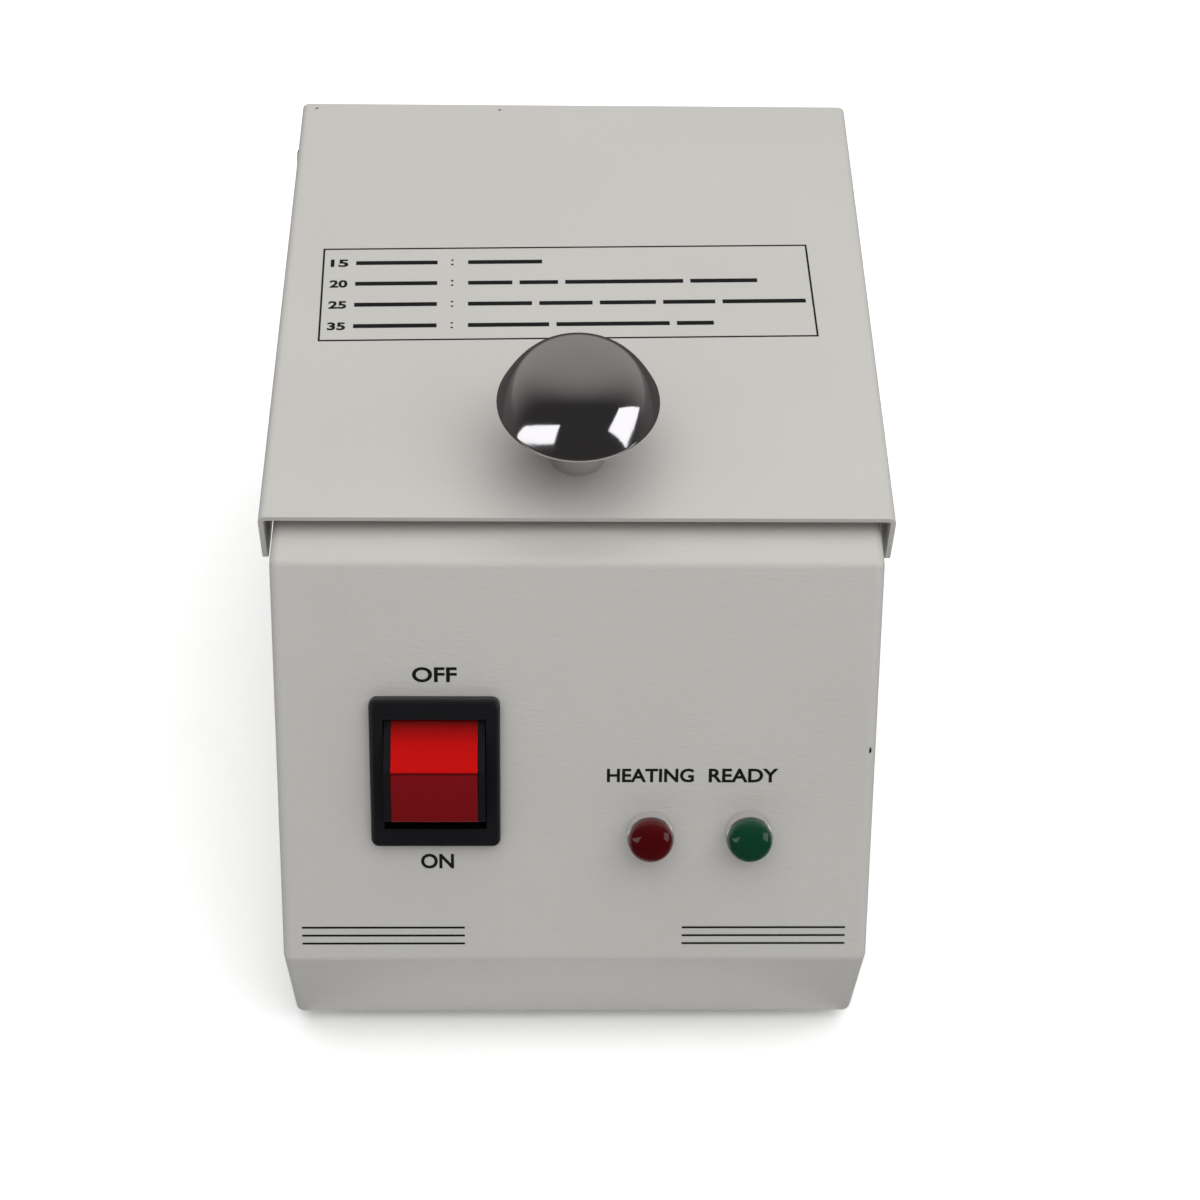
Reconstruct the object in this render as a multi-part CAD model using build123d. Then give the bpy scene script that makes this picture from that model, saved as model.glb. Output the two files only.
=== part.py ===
from build123d import *
import math
import os

# A small bench sterilizer: a folded sheet-steel console with a heated well of
# glass beads in its deck, a hinged lid over the deck, and a sloped front panel
# with a lighted rocker switch and two indicator lamps.
# Millimetres. +Z is up, the panel faces -Y, and the origin is on the bench
# under the middle of the whole object.

# Casing
body_width = 117.0
body_sheet = 1.2
body_corner = 2.0
panel_rise = 71.0
panel_run = 44.0
kick_rise = 27.5
kick_run = 4.2
deck_length = 128.3

# Base tray and feet
tray_sheet = 1.0
tray_flange = 12.0
tray_clearance = 0.2
foot_height = 5.0
foot_radius = 7.0
foot_taper = 0.8
foot_inset = 15.0
foot_bore = 3.6
foot_floor = 2.2

# Lid and its pivots
lid_sheet = 1.0
lid_gap = 3.0
lid_side_gap = 1.3
lid_setback = 7.6
lid_flange = 13.0
lid_corner = 1.6
lid_flange_round = 2.5
pivot_from_lid_edge = 8.8
pivot_from_back = 5.3
pivot_below_lid_top = 8.9
pivot_head = 2.6
pivot_head_height = 1.0
bush_radius = 2.4
bush_shoulder = 4.0
running_clearance = 0.05
side_play = 0.1
bumper_radius = 4.0
bumper_inset = 10.0
bumper_round = 0.8
rest_clearance = 0.15

# Lid knob
knob_radius = 15.5
knob_rim_height = 15.0
knob_dome = 10.0
knob_neck = 5.5
knob_neck_height = 4.0
knob_edge = 0.9
knob_setback = 16.3
knob_screw_grip = 9.0
knob_screw_room = 0.5

# Bead well and its heater
well_setback = 64.0
well_radius = 17.5
well_wall = 1.2
well_floor = 2.0
well_depth = 58.0
well_rim = 4.0
well_rim_thickness = 1.0
well_corner = 3.0
well_lip_round = 0.5
bead_level = 12.0
collar_thickness = 1.4
collar_margin = 6.0
collar_spigot = 2.0
deck_hole = 23.0
band_thickness = 2.4
band_height = 36.0
band_lift = 8.0
band_slit = 5.0
lug_length = 8.0
lug_height = 12.0
lug_sheet = 1.5
lug_margin = 1.0
can_radius = 31.0
can_sheet = 0.8
can_rim = 7.5
can_corner = 2.0
jacket_floor = 8.0
jacket_slot = 18.0
stud_radius = 2.0
stud_length = 15.0

# Thermostat under the well
thermostat_offset = 12.0
thermostat_cap = 6.5
thermostat_cap_height = 3.0
thermostat_body = 7.6
thermostat_drop = 14.0
thermostat_plate = 0.8
thermostat_hole_spacing = 23.8
thermostat_ear = 3.4

# Rocker switch, measured on the panel from the upper bend
switch_x = -27.5
switch_down = 42.5
bezel_width = 25.3
bezel_height = 30.8
bezel_thickness = 2.4
bezel_corner = 1.6
bezel_round = 0.9
opening_width = 19.9
opening_height = 22.9
housing_wall = 0.85
housing_end = 2.4
housing_depth = 22.0
housing_floor = 10.0
rocker_clearance = 0.2
rocker_half_length = 10.2
rocker_end_height = 5.5
rocker_slope = 15.0
rocker_tilt = 12.0
rocker_pivot_depth = 2.5
rocker_skirt = 4.0
rocker_round = 0.7
trunnion_radius = 1.5
lens_width = 16.7
lens_thickness = 1.8
lens_proud = 0.3
tab_width = 6.3
tab_sheet = 0.8
tab_length = 8.0

# Indicator lamps, measured on the panel from the upper bend
lamp_down = 55.7
lamp_spots = {"heating": 14.5, "ready": 33.9}
lamp_collar_radius = 4.65
lamp_collar_height = 3.0
lamp_barrel = 3.9
lamp_barrel_length = 16.0
lamp_bore = 3.2
lamp_floor = 1.5
lamp_collar_round = 0.3
lamp_lens_radius = 4.4
lamp_lens_straight = 1.0
lamp_lens_dome = 2.6
lamp_crown_drop = 0.75
lamp_crown_slope = 0.75
lamp_stem = 4.0
lamp_nut_flats = 11.0
lamp_nut_thickness = 2.5
bulb_radius = 2.4
bulb_length = 8.5

# Back wall: cord grommet, fuse holder and vents
grommet_x = -32.0
grommet_height = 18.0
grommet_flange = 8.0
grommet_groove = 5.6
grommet_bore = 3.4
grommet_outer = 3.5
grommet_inner = 2.5
grommet_inner_step = 0.5
fuse_from_side = 26.5
fuse_height = 20.0
fuse_barrel = 6.3
fuse_flange = 8.5
fuse_flange_thickness = 2.0
fuse_nut_flats = 16.0
fuse_depth = 34.0
fuse_bore = 4.4
fuse_floor = 3.0
fuse_round = 0.8
fuse_cap_radius = 5.8
fuse_cap_height = 8.0
fuse_cap_cover = 2.0
flute_radius = 0.7
flute_start = 1.2
flute_count = 12
coin_slot_width = 1.2
coin_slot_depth = 1.2
fuse_stem_length = 24.0
fuse_link_radius = 2.6
fuse_link_length = 20.0
vent_length = 26.0
vent_width = 2.6
vent_pitch = 6.0
vent_count = 5
vent_top = 22.0

# Terminal block and earth stud on the tray
block_length = 27.0
block_width = 17.0
block_height = 8.0
block_pitch = 8.0
block_corner = 1.0
block_tunnel = 1.9
block_well = 1.85
sleeve_radius = 1.85
sleeve_bore = 1.2
sleeve_inset = 1.0
tower_radius = 3.1
tower_height = 4.0
tower_margin = 0.6
block_screw_head = 2.6
block_screw_head_height = 1.6
block_from_side = 28.5
block_from_back = 34.0
earth_x = 0.0
earth_from_back = 20.0
earth_bolt_length = 12.0

# Fasteners
fit_gap = 0.1
m3_radius = 1.5
m3_head = 3.0
m3_head_height = 1.9
m3_nut_flats = 5.5
m3_nut_thickness = 2.4
m4_radius = 2.0
m4_head = 3.8
m4_head_height = 2.2
m4_nut_flats = 7.0
m4_nut_thickness = 3.2
tapping_radius = 1.45
tapping_length = 6.0
tapping_play = 0.02
thread_beyond_nut = 0.6
tapping_beyond = 2.0

# How far a cutter runs past the face that it opens
cut_over = 1.0

# Places worked out from the sizes above
fuse_reach = fuse_flange_thickness + fit_gap + fuse_cap_height
lid_overhang = pivot_from_lid_edge - pivot_from_back
rear_reach = max(fuse_reach, grommet_outer, lid_overhang)
overall_depth = panel_run + deck_length + rear_reach

y_front = -overall_depth / 2
y_bend = y_front + panel_run
y_back = y_bend + deck_length
y_kick_foot = y_front + kick_run
z_bottom = foot_height
z_low_bend = z_bottom + kick_rise
z_deck = z_low_bend + panel_rise
z_deck_under = z_deck - body_sheet
z_tray_top = z_bottom + tray_sheet

y_pivot = y_back - pivot_from_back
y_lid_front = y_bend + lid_setback
y_lid_back = y_pivot + pivot_from_lid_edge
lid_length = y_lid_back - y_lid_front
z_lid_under = z_deck + lid_gap
z_lid_top = z_lid_under + lid_sheet
z_pivot = z_lid_top - pivot_below_lid_top
lid_width = body_width + 2 * (lid_side_gap + lid_sheet)
y_knob = y_lid_front + knob_setback

y_well = y_bend + well_setback
well_outer = well_radius + well_wall
z_collar = z_deck + collar_thickness
z_rim = z_collar + well_rim_thickness
z_well_bottom = z_rim - well_depth - well_floor
z_jacket_bottom = z_well_bottom - jacket_floor
z_can_bottom = z_jacket_bottom - can_sheet

panel = Plane(
    origin=(0, y_bend, z_deck),
    x_dir=(1, 0, 0),
    z_dir=(0, -panel_rise, panel_run),
)


def on_panel(x, down, out=0.0):
    """A place on the sloped panel, with local Z pointing out of the panel."""
    return panel.location * Location((x, -down, out))


def on_back(x, z):
    """A place on the back wall, with local Z pointing out behind."""
    return Plane(origin=(x, y_back, z), x_dir=(-1, 0, 0), z_dir=(0, 1, 0)).location


def on_side(side, y, z):
    """A place on the right (1) or left (-1) wall, with local Z pointing out."""
    wall = Plane(origin=(side * body_width / 2, y, z), x_dir=(0, 1, 0), z_dir=(side, 0, 0))
    return wall.location


def disc(radius, bottom, top):
    """An upright cylinder between two heights."""
    return Pos(0, 0, bottom) * Cylinder(radius, top - bottom, align=(Align.CENTER, Align.CENTER, Align.MIN))


def ring(outer, inner, bottom, top):
    """An upright tube between two heights."""
    return disc(outer, bottom, top) - disc(inner, bottom - cut_over, top + cut_over)


def slab(width, depth, bottom, top, corner=0.0):
    """A plate between two heights, with rounded upright corners if asked."""
    outline = RectangleRounded(width, depth, corner) if corner else Rectangle(width, depth)
    return Pos(0, 0, bottom) * extrude(outline, amount=top - bottom)


def group(pieces):
    """Several like solids kept in one node."""
    return Compound([solid for piece in pieces for solid in piece.solids()])


def screw(radius, head, head_height, length):
    """A pan-head screw: the head stands on Z = 0 and the shank goes down."""
    crown = disc(head, 0, head_height)
    crown = fillet(crown.edges().sort_by(Axis.Z)[-1], head_height * 0.55)
    recess_depth = head_height * 0.5
    arm = Box(head * 1.1, radius * 0.5, recess_depth, align=(Align.CENTER, Align.CENTER, Align.MAX))
    recess = Pos(0, 0, head_height) * (arm + Rot(0, 0, 90) * arm)
    return crown - recess + disc(radius, -length, 0)


def nut(flats, bore, thickness):
    """A hexagon nut standing on Z = 0, with flats on its +Y and -Y sides."""
    body = extrude(RegularPolygon(flats / 2, 6, major_radius=False), amount=thickness)
    return body - disc(bore, -cut_over, thickness + cut_over)


tray_inner_front = y_kick_foot + body_sheet * math.hypot(1, kick_run / kick_rise) + tray_clearance
tray_inner_back = y_back - body_sheet - tray_clearance
tray_depth = tray_inner_back - tray_inner_front
tray_middle = (tray_inner_back + tray_inner_front) / 2
tray_width = body_width - 2 * body_sheet - 2 * tray_clearance

foot_places = {
    "front_left": (-body_width / 2 + foot_inset, tray_inner_front + foot_inset),
    "front_right": (body_width / 2 - foot_inset, tray_inner_front + foot_inset),
    "back_left": (-body_width / 2 + foot_inset, tray_inner_back - foot_inset),
    "back_right": (body_width / 2 - foot_inset, tray_inner_back - foot_inset),
}
side_screw_height = z_tray_top + tray_flange / 2
side_screw_places = [
    (side, y)
    for side in (-1, 1)
    for y in (tray_inner_front + foot_inset, tray_inner_back - foot_inset)
]
can_screw_circle = can_radius + can_sheet + can_rim / 2
can_screw_spots = [
    Pos(0, y_well, 0) * Rot(0, 0, 45 + 90 * turn) * Pos(can_screw_circle, 0, 0)
    for turn in range(4)
]
block_place = Pos(block_from_side - body_width / 2, y_back - block_from_back, z_tray_top)
fuse_x = body_width / 2 - fuse_from_side
earth_place = Pos(earth_x, y_back - earth_from_back, z_tray_top)
block_screw_offset = block_pitch / 2
thermostat_place = Pos(thermostat_offset, y_well, 0)


def make_casing():
    """The console: kick strip, sloped panel, deck, back and sides in one skin."""
    outline = Polyline(
        (y_kick_foot, z_bottom),
        (y_front, z_low_bend),
        (y_bend, z_deck),
        (y_back, z_deck),
        (y_back, z_bottom),
        close=True,
    )
    body = extrude(Plane.YZ * make_face(outline), amount=body_width / 2, both=True)
    folds = [edge for edge in body.edges() if edge.center().Z > z_bottom + body_corner]
    body = fillet(folds, body_corner)
    body = offset(body, amount=-body_sheet, openings=body.faces().sort_by(Axis.Z)[0])

    body -= Pos(0, y_well, 0) * disc(deck_hole, z_deck - 3 * body_sheet, z_deck + cut_over)
    for spot in can_screw_spots:
        body -= spot * disc(m3_radius + fit_gap, z_deck - 3 * body_sheet, z_deck + cut_over)

    cut_width = opening_width + 2 * housing_wall + 2 * fit_gap
    cut_height = opening_height + 2 * housing_end + 2 * fit_gap
    body -= on_panel(switch_x, switch_down) * slab(cut_width, cut_height, -3 * body_sheet, cut_over)
    for x in lamp_spots.values():
        body -= on_panel(x, lamp_down) * disc(lamp_barrel + fit_gap, -3 * body_sheet, cut_over)

    body -= on_back(grommet_x, grommet_height) * disc(grommet_groove + fit_gap, -3 * body_sheet, cut_over)
    body -= on_back(fuse_x, fuse_height) * disc(fuse_barrel + fit_gap, -3 * body_sheet, cut_over)
    slot = extrude(SlotOverall(vent_length, vent_width), amount=6 * body_sheet, both=True)
    for row in range(vent_count):
        body -= on_back(0, z_deck - vent_top - row * vent_pitch) * slot

    for side in (-1, 1):
        body -= on_side(side, y_pivot, z_pivot) * disc(m3_radius + fit_gap, -3 * body_sheet, cut_over)
    for side, y in side_screw_places:
        hole = disc(tapping_radius + fit_gap, -3 * body_sheet, cut_over)
        body -= on_side(side, y, side_screw_height) * hole
    return body


def make_tray():
    """The bottom tray: a plate with two upturned flanges and cooling slots."""
    tray = Pos(0, tray_middle, z_bottom) * Box(
        tray_width, tray_depth, tray_sheet + tray_flange, align=(Align.CENTER, Align.CENTER, Align.MIN)
    )
    tray = fillet(tray.edges().filter_by(Axis.Z), body_corner)
    trough_width = tray_width - 2 * tray_sheet
    trough_depth = tray_depth + 2 * cut_over
    trough = Pos(0, tray_middle, z_tray_top) * Box(
        trough_width, trough_depth, 2 * tray_flange, align=(Align.CENTER, Align.CENTER, Align.MIN)
    )
    trough = fillet(trough.edges().filter_by(Axis.Y).group_by(Axis.Z)[0], tray_sheet * 0.5)
    tray -= trough

    for x, y in foot_places.values():
        tray -= Pos(x, y, z_bottom) * disc(tapping_radius, -cut_over, tray_sheet + cut_over)
    slot = extrude(SlotOverall(vent_length, vent_width), amount=3 * tray_sheet, both=True)
    for row in range(vent_count):
        for x in (-vent_length * 0.7, vent_length * 0.7):
            shift = (row - (vent_count - 1) / 2) * vent_pitch
            tray -= Pos(x, y_well + shift, z_bottom) * slot
    tray -= earth_place * disc(m4_radius + fit_gap, -2 * tray_sheet, cut_over)
    for shift in (-block_screw_offset, block_screw_offset):
        tray -= block_place * Pos(shift, 0, 0) * disc(tapping_radius, -2 * tray_sheet, cut_over)
    for side, y in side_screw_places:
        hole = disc(tapping_radius, -3 * tray_sheet - body_sheet, 0)
        tray -= on_side(side, y, side_screw_height) * hole
    return tray


def make_foot(x, y):
    """A tapered rubber foot with a sunk hole for its screw."""
    sole = foot_radius - foot_taper
    foot = Cone(sole, foot_radius, foot_height, align=(Align.CENTER, Align.CENTER, Align.MIN))
    foot -= disc(foot_bore, -cut_over, foot_height - foot_floor)
    foot -= disc(tapping_radius + fit_gap, -cut_over, foot_height + cut_over)
    return Pos(x, y, 0) * foot


def make_foot_screws():
    """One screw up through each foot into the tray."""
    shank = foot_floor + tray_sheet + tapping_beyond
    piece = Rot(180, 0, 0) * screw(tapping_radius - tapping_play, m3_head, m3_head_height, shank)
    return group([Pos(x, y, foot_height - foot_floor) * piece for x, y in foot_places.values()])


def make_casing_screws():
    """Two screws a side, through the casing into the tray's flanges."""
    piece = screw(tapping_radius - tapping_play, m3_head, m3_head_height, tapping_length)
    return group([on_side(side, y, side_screw_height) * piece for side, y in side_screw_places])


def make_lid():
    """The lid: one sheet folded down along both sides."""
    height = lid_flange
    bottom = z_lid_top - height
    middle = (y_lid_front + y_lid_back) / 2
    lid = Pos(0, middle, bottom) * Box(
        lid_width, lid_length, height, align=(Align.CENTER, Align.CENTER, Align.MIN)
    )
    lid = fillet(lid.edges().filter_by(Axis.Y).group_by(Axis.Z)[-1], lid_corner)
    lower = lid.edges().filter_by(Axis.X).group_by(Axis.Z)[0]
    lid = fillet(lower, lid_flange_round)
    inside = Pos(0, middle, bottom - height) * Box(
        lid_width - 2 * lid_sheet, lid_length + 2 * cut_over, 2 * height - lid_sheet,
        align=(Align.CENTER, Align.CENTER, Align.MIN),
    )
    inside = fillet(inside.edges().filter_by(Axis.Y).group_by(Axis.Z)[-1], lid_corner - lid_sheet)
    lid -= inside
    for side in (-1, 1):
        hole = disc(bush_radius + running_clearance, 0, lid_side_gap + 3 * lid_sheet)
        lid -= on_side(side, y_pivot, z_pivot) * hole
    lid -= Pos(0, y_knob, 0) * disc(m4_radius + fit_gap, z_lid_under - cut_over, z_lid_top + cut_over)
    return lid


def make_knob():
    """The mushroom knob: a turned neck that flares under a domed head."""
    rim = knob_rim_height
    edge_radius = knob_radius - 0.5 * knob_edge
    with BuildSketch(Plane.XZ) as section:
        with BuildLine():
            Line((0, 0), (knob_neck, 0))
            Line((knob_neck, 0), (knob_neck, knob_neck_height))
            Spline(
                (knob_neck, knob_neck_height),
                (knob_radius * 0.62, rim * 0.74),
                (edge_radius, rim - knob_edge),
                tangents=[(0, 1), (1, 0.25)],
            )
            edge = ThreePointArc(
                (edge_radius, rim - knob_edge),
                (knob_radius, rim),
                (knob_radius - 0.12 * knob_edge, rim + 0.6 * knob_edge),
            )
            Spline(
                edge @ 1,
                (knob_radius * 0.72, rim + knob_dome * 0.72),
                (0, rim + knob_dome),
                tangents=[edge % 1, (-1, 0)],
            )
            Line((0, rim + knob_dome), (0, 0))
        make_face()
    knob = revolve(section.sketch, axis=Axis.Z)
    knob -= disc(m4_radius + fit_gap, -cut_over, knob_screw_grip)
    return Pos(0, y_knob, z_lid_top) * knob


def make_knob_screw():
    """The screw that holds the knob from under the lid."""
    length = lid_sheet + knob_screw_grip - knob_screw_room
    piece = Rot(180, 0, 0) * screw(m4_radius, m4_head, m4_head_height, length)
    return Pos(0, y_knob, z_lid_under) * piece


def make_bumper(side):
    """A rubber button on the deck, on which the closed lid rests."""
    button = disc(bumper_radius, 0, lid_gap - rest_clearance)
    button = fillet(button.edges().sort_by(Axis.Z)[-1], bumper_round)
    return Pos(side * (body_width / 2 - bumper_inset), y_lid_front + bumper_inset, z_deck) * button


def make_pivot_bush(side):
    """A shouldered spacer: the lid's flange turns on its barrel."""
    shoulder = lid_side_gap - side_play
    barrel_end = lid_side_gap + lid_sheet + side_play
    bush = disc(bush_shoulder, 0, shoulder) + disc(bush_radius, 0, barrel_end)
    bush -= disc(m3_radius + fit_gap, -cut_over, barrel_end + cut_over)
    return on_side(side, y_pivot, z_pivot) * bush


def make_pivot_screw(side):
    """The screw on which the lid hangs."""
    barrel_end = lid_side_gap + lid_sheet + side_play
    length = barrel_end + body_sheet + m3_nut_thickness + thread_beyond_nut
    piece = screw(m3_radius, pivot_head, pivot_head_height, length)
    return on_side(side, y_pivot, z_pivot) * Pos(0, 0, barrel_end) * piece


def make_pivot_nuts():
    """A nut inside each side wall."""
    piece = nut(m3_nut_flats, m3_radius + fit_gap / 2, m3_nut_thickness)
    seat = -body_sheet - m3_nut_thickness
    return group([on_side(side, y_pivot, z_pivot) * Pos(0, 0, seat) * piece for side in (-1, 1)])


def make_well():
    """The bead well: a turned cup with a rim, and a stud under its floor."""
    cup = disc(well_outer, z_well_bottom, z_rim) + disc(well_outer + well_rim, z_collar, z_rim)
    hollow = disc(well_radius, z_well_bottom + well_floor, z_rim + cut_over)
    hollow = fillet(hollow.edges().sort_by(Axis.Z)[0], well_corner)
    cup -= hollow
    cup += disc(stud_radius, z_well_bottom - stud_length, z_well_bottom)
    inner_lip = [
        edge for edge in cup.edges().filter_by(GeomType.CIRCLE)
        if abs(edge.center().Z - z_rim) < 0.01 and edge.radius < well_outer
    ]
    cup = fillet(inner_lip, well_lip_round)
    return Pos(0, y_well, 0) * cup


def make_beads():
    """The bed of glass beads, which fills the cup up to its working level."""
    bed = disc(well_radius - fit_gap / 2, z_well_bottom + well_floor, z_rim - bead_level)
    bed = fillet(bed.edges().sort_by(Axis.Z)[0], well_corner)
    return Pos(0, y_well, 0) * bed


def make_collar():
    """The heat-proof ring between the hot cup and the painted deck."""
    bore = well_outer + 2 * fit_gap
    collar = ring(deck_hole + collar_margin, bore, z_deck, z_collar)
    outer_edge = collar.edges().group_by(Axis.Z)[-1].sort_by(SortBy.RADIUS)[-1]
    collar = fillet(outer_edge, collar_thickness * 0.5)
    collar += ring(deck_hole - fit_gap, bore, z_deck_under - collar_spigot, z_deck)
    return Pos(0, y_well, 0) * collar


def make_band():
    """The band heater: a split sleeve on the cup, with two clamping lugs."""
    bottom = z_well_bottom + band_lift
    outer = well_outer + band_thickness
    band = ring(outer, well_outer, bottom, bottom + band_height)
    lug_middle = bottom + band_height / 2
    reach = outer + lug_length
    lug_root = well_outer + band_thickness / 2
    for side in (-1, 1):
        lug = Box(reach - lug_root, lug_sheet, lug_height, align=(Align.MAX, Align.CENTER, Align.CENTER))
        shift = side * (band_slit + lug_sheet) / 2
        band += Pos(-lug_root, shift, lug_middle) * lug
    slit_height = band_height + 2 * cut_over
    slit = Box(reach + cut_over, band_slit, slit_height, align=(Align.MAX, Align.CENTER, Align.MIN))
    band -= Pos(0, 0, bottom - cut_over) * slit
    hole = Rot(90, 0, 0) * disc(m3_radius + fit_gap, -reach, reach)
    band -= Pos(-reach + m3_nut_flats / 2 + lug_margin, 0, lug_middle) * hole
    return Pos(0, y_well, 0) * band


def make_clamp_screw():
    """The screw and nut that draw the band's lugs together."""
    outer = well_outer + band_thickness
    reach = outer + lug_length
    half = band_slit / 2 + lug_sheet
    middle = z_well_bottom + band_lift + band_height / 2
    length = 2 * half + m3_nut_thickness + thread_beyond_nut
    bolt = Rot(90, 0, 0) * Pos(0, 0, half) * screw(m3_radius, m3_head, m3_head_height, length)
    clamp_nut = Rot(90, 0, 0) * Pos(0, 0, -half - m3_nut_thickness) * nut(
        m3_nut_flats, m3_radius + fit_gap / 2, m3_nut_thickness
    )
    place = Pos(-reach + m3_nut_flats / 2 + lug_margin, y_well, middle)
    return group([place * bolt, place * clamp_nut])


def make_can():
    """The spun can that holds the insulation under the deck."""
    top = z_deck_under
    can = disc(can_radius + can_sheet, z_can_bottom, top)
    can += disc(can_radius + can_sheet + can_rim, top - can_sheet, top)
    can = fillet(can.edges().sort_by(Axis.Z)[0], can_corner)
    hollow = disc(can_radius, z_jacket_bottom, top + cut_over)
    can -= fillet(hollow.edges().sort_by(Axis.Z)[0], can_corner - can_sheet)
    can -= disc(stud_radius + fit_gap, z_can_bottom - cut_over, z_jacket_bottom + cut_over)
    can = Pos(0, y_well, 0) * can
    for spot in can_screw_spots:
        can -= spot * disc(m3_radius + fit_gap, top - 2 * can_sheet, top + cut_over)
    opening = disc(thermostat_body + fit_gap, z_can_bottom - cut_over, z_jacket_bottom + cut_over)
    can -= thermostat_place * opening
    for shift in (-thermostat_hole_spacing / 2, thermostat_hole_spacing / 2):
        hole = disc(tapping_radius, z_can_bottom - cut_over, z_jacket_bottom + cut_over)
        can -= thermostat_place * Pos(0, shift, 0) * hole
    return can


def make_jacket():
    """The mineral-fibre jacket round the cup, open where the band is clamped."""
    top = z_deck_under - can_sheet
    jacket = disc(can_radius - fit_gap, z_jacket_bottom, top)
    jacket = fillet(jacket.edges().sort_by(Axis.Z)[0], can_corner)
    jacket -= disc(deck_hole + fit_gap, z_well_bottom, top + cut_over)
    slot_height = top - z_well_bottom
    slot = Box(can_radius, jacket_slot, slot_height, align=(Align.MAX, Align.CENTER, Align.MIN))
    jacket -= Pos(-well_outer, 0, z_well_bottom) * slot
    jacket -= disc(stud_radius + fit_gap, z_jacket_bottom - cut_over, z_well_bottom + cut_over)
    opening = disc(thermostat_body + fit_gap, z_jacket_bottom - cut_over, z_well_bottom + cut_over)
    jacket -= Pos(thermostat_offset, 0, 0) * opening
    for shift in (-thermostat_hole_spacing / 2, thermostat_hole_spacing / 2):
        pocket_top = z_jacket_bottom + tapping_length
        pocket = disc(tapping_radius + fit_gap, z_jacket_bottom - cut_over, pocket_top)
        jacket -= Pos(thermostat_offset, shift, 0) * pocket
    return Pos(0, y_well, 0) * jacket


def make_well_screws():
    """Four screws through the deck into the can's rim."""
    length = body_sheet + can_sheet + m3_nut_thickness + thread_beyond_nut
    piece = screw(m3_radius, m3_head, m3_head_height, length)
    return group([spot * Pos(0, 0, z_deck) * piece for spot in can_screw_spots])


def make_well_nuts():
    """The nuts under the can's rim."""
    piece = nut(m3_nut_flats, m3_radius + fit_gap / 2, m3_nut_thickness)
    seat = z_deck_under - can_sheet - m3_nut_thickness
    return group([spot * Pos(0, 0, seat) * Rot(0, 0, 90) * piece for spot in can_screw_spots])


def make_stud_nut():
    """The nut that draws the cup down into the can."""
    piece = nut(m4_nut_flats, stud_radius + fit_gap / 2, m4_nut_thickness)
    return Pos(0, y_well, z_can_bottom - m4_nut_thickness) * Rot(0, 0, 90) * piece


def make_thermostat():
    """The snap-disc thermostat: its metal cap touches the floor of the cup."""
    plate_top = z_can_bottom
    plate_bottom = plate_top - thermostat_plate
    body_bottom = z_well_bottom - thermostat_drop
    body = disc(thermostat_cap, z_well_bottom - thermostat_cap_height, z_well_bottom)
    body += disc(thermostat_body, body_bottom, z_well_bottom - thermostat_cap_height)
    plate = SlotCenterToCenter(thermostat_hole_spacing, 2 * thermostat_ear, rotation=90)
    body += Pos(0, 0, plate_bottom) * extrude(plate, amount=thermostat_plate)
    for shift in (-thermostat_hole_spacing / 2, thermostat_hole_spacing / 2):
        hole = disc(tapping_radius + fit_gap, plate_bottom - cut_over, plate_top + cut_over)
        body -= Pos(0, shift, 0) * hole
    for shift in (-1, 1):
        tab = Box(tab_sheet, tab_width, tab_length, align=(Align.CENTER, Align.CENTER, Align.MAX))
        body += Pos(shift * thermostat_body * 0.5, 0, body_bottom) * tab
    return thermostat_place * body


def make_thermostat_screws():
    """Two screws through the thermostat's ears into the can."""
    length = thermostat_plate + can_sheet + tapping_beyond
    piece = Rot(180, 0, 0) * screw(tapping_radius - tapping_play, m3_head, m3_head_height, length)
    seat = z_can_bottom - thermostat_plate
    shifts = (-thermostat_hole_spacing / 2, thermostat_hole_spacing / 2)
    return group([thermostat_place * Pos(0, shift, seat) * piece for shift in shifts])


def make_switch_housing():
    """The switch's moulded bezel and body, open in front for the rocker."""
    body_width_here = opening_width + 2 * housing_wall
    body_height_here = opening_height + 2 * housing_end
    bezel = slab(bezel_width, bezel_height, 0, bezel_thickness, bezel_corner)
    bezel = fillet(bezel.edges().group_by(Axis.Z)[-1], bezel_round)
    body = slab(body_width_here, body_height_here, -housing_depth, bezel_thickness / 2)
    housing = bezel + body
    housing -= slab(opening_width, opening_height, -housing_floor, bezel_thickness + cut_over)
    bearing = Rot(0, 90, 0) * disc(trunnion_radius + running_clearance, -bezel_width, bezel_width)
    reach = slab(body_width_here + 2 * cut_over, 4 * trunnion_radius, -housing_floor, 0)
    housing -= (Pos(0, 0, -rocker_pivot_depth) * bearing) & reach
    return on_panel(switch_x, switch_down) * housing


def rocker_section(half_length, end_height, skirt):
    """The rocker's side view about its pivot: two slopes that meet in a ridge."""
    ridge = end_height + half_length * math.tan(math.radians(rocker_slope))
    outline = Polyline(
        (-half_length, -skirt),
        (half_length, -skirt),
        (half_length, end_height),
        (0, ridge),
        (-half_length, end_height),
        close=True,
    )
    return Plane.YZ * make_face(outline)


def in_switch(piece):
    """Turn a rocker piece to its OFF position and set it on its pivot."""
    pivot = on_panel(switch_x, switch_down, -rocker_pivot_depth)
    return pivot * Rot(-rocker_tilt, 0, 0) * piece


def crown_edges(piece):
    """The edges across the rocker's ridge and its two upper ends."""
    return [edge for edge in piece.edges().filter_by(Axis.X) if edge.center().Z > rocker_end_height / 2]


def room_under_window():
    """The space that the window roofs over, run out past the rocker's ends."""
    drop = cut_over * math.tan(math.radians(rocker_slope))
    end_height = rocker_end_height + lens_proud - lens_thickness - drop
    section = rocker_section(rocker_half_length + cut_over, end_height, rocker_skirt + cut_over)
    return extrude(section, amount=lens_width, both=True)


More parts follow.
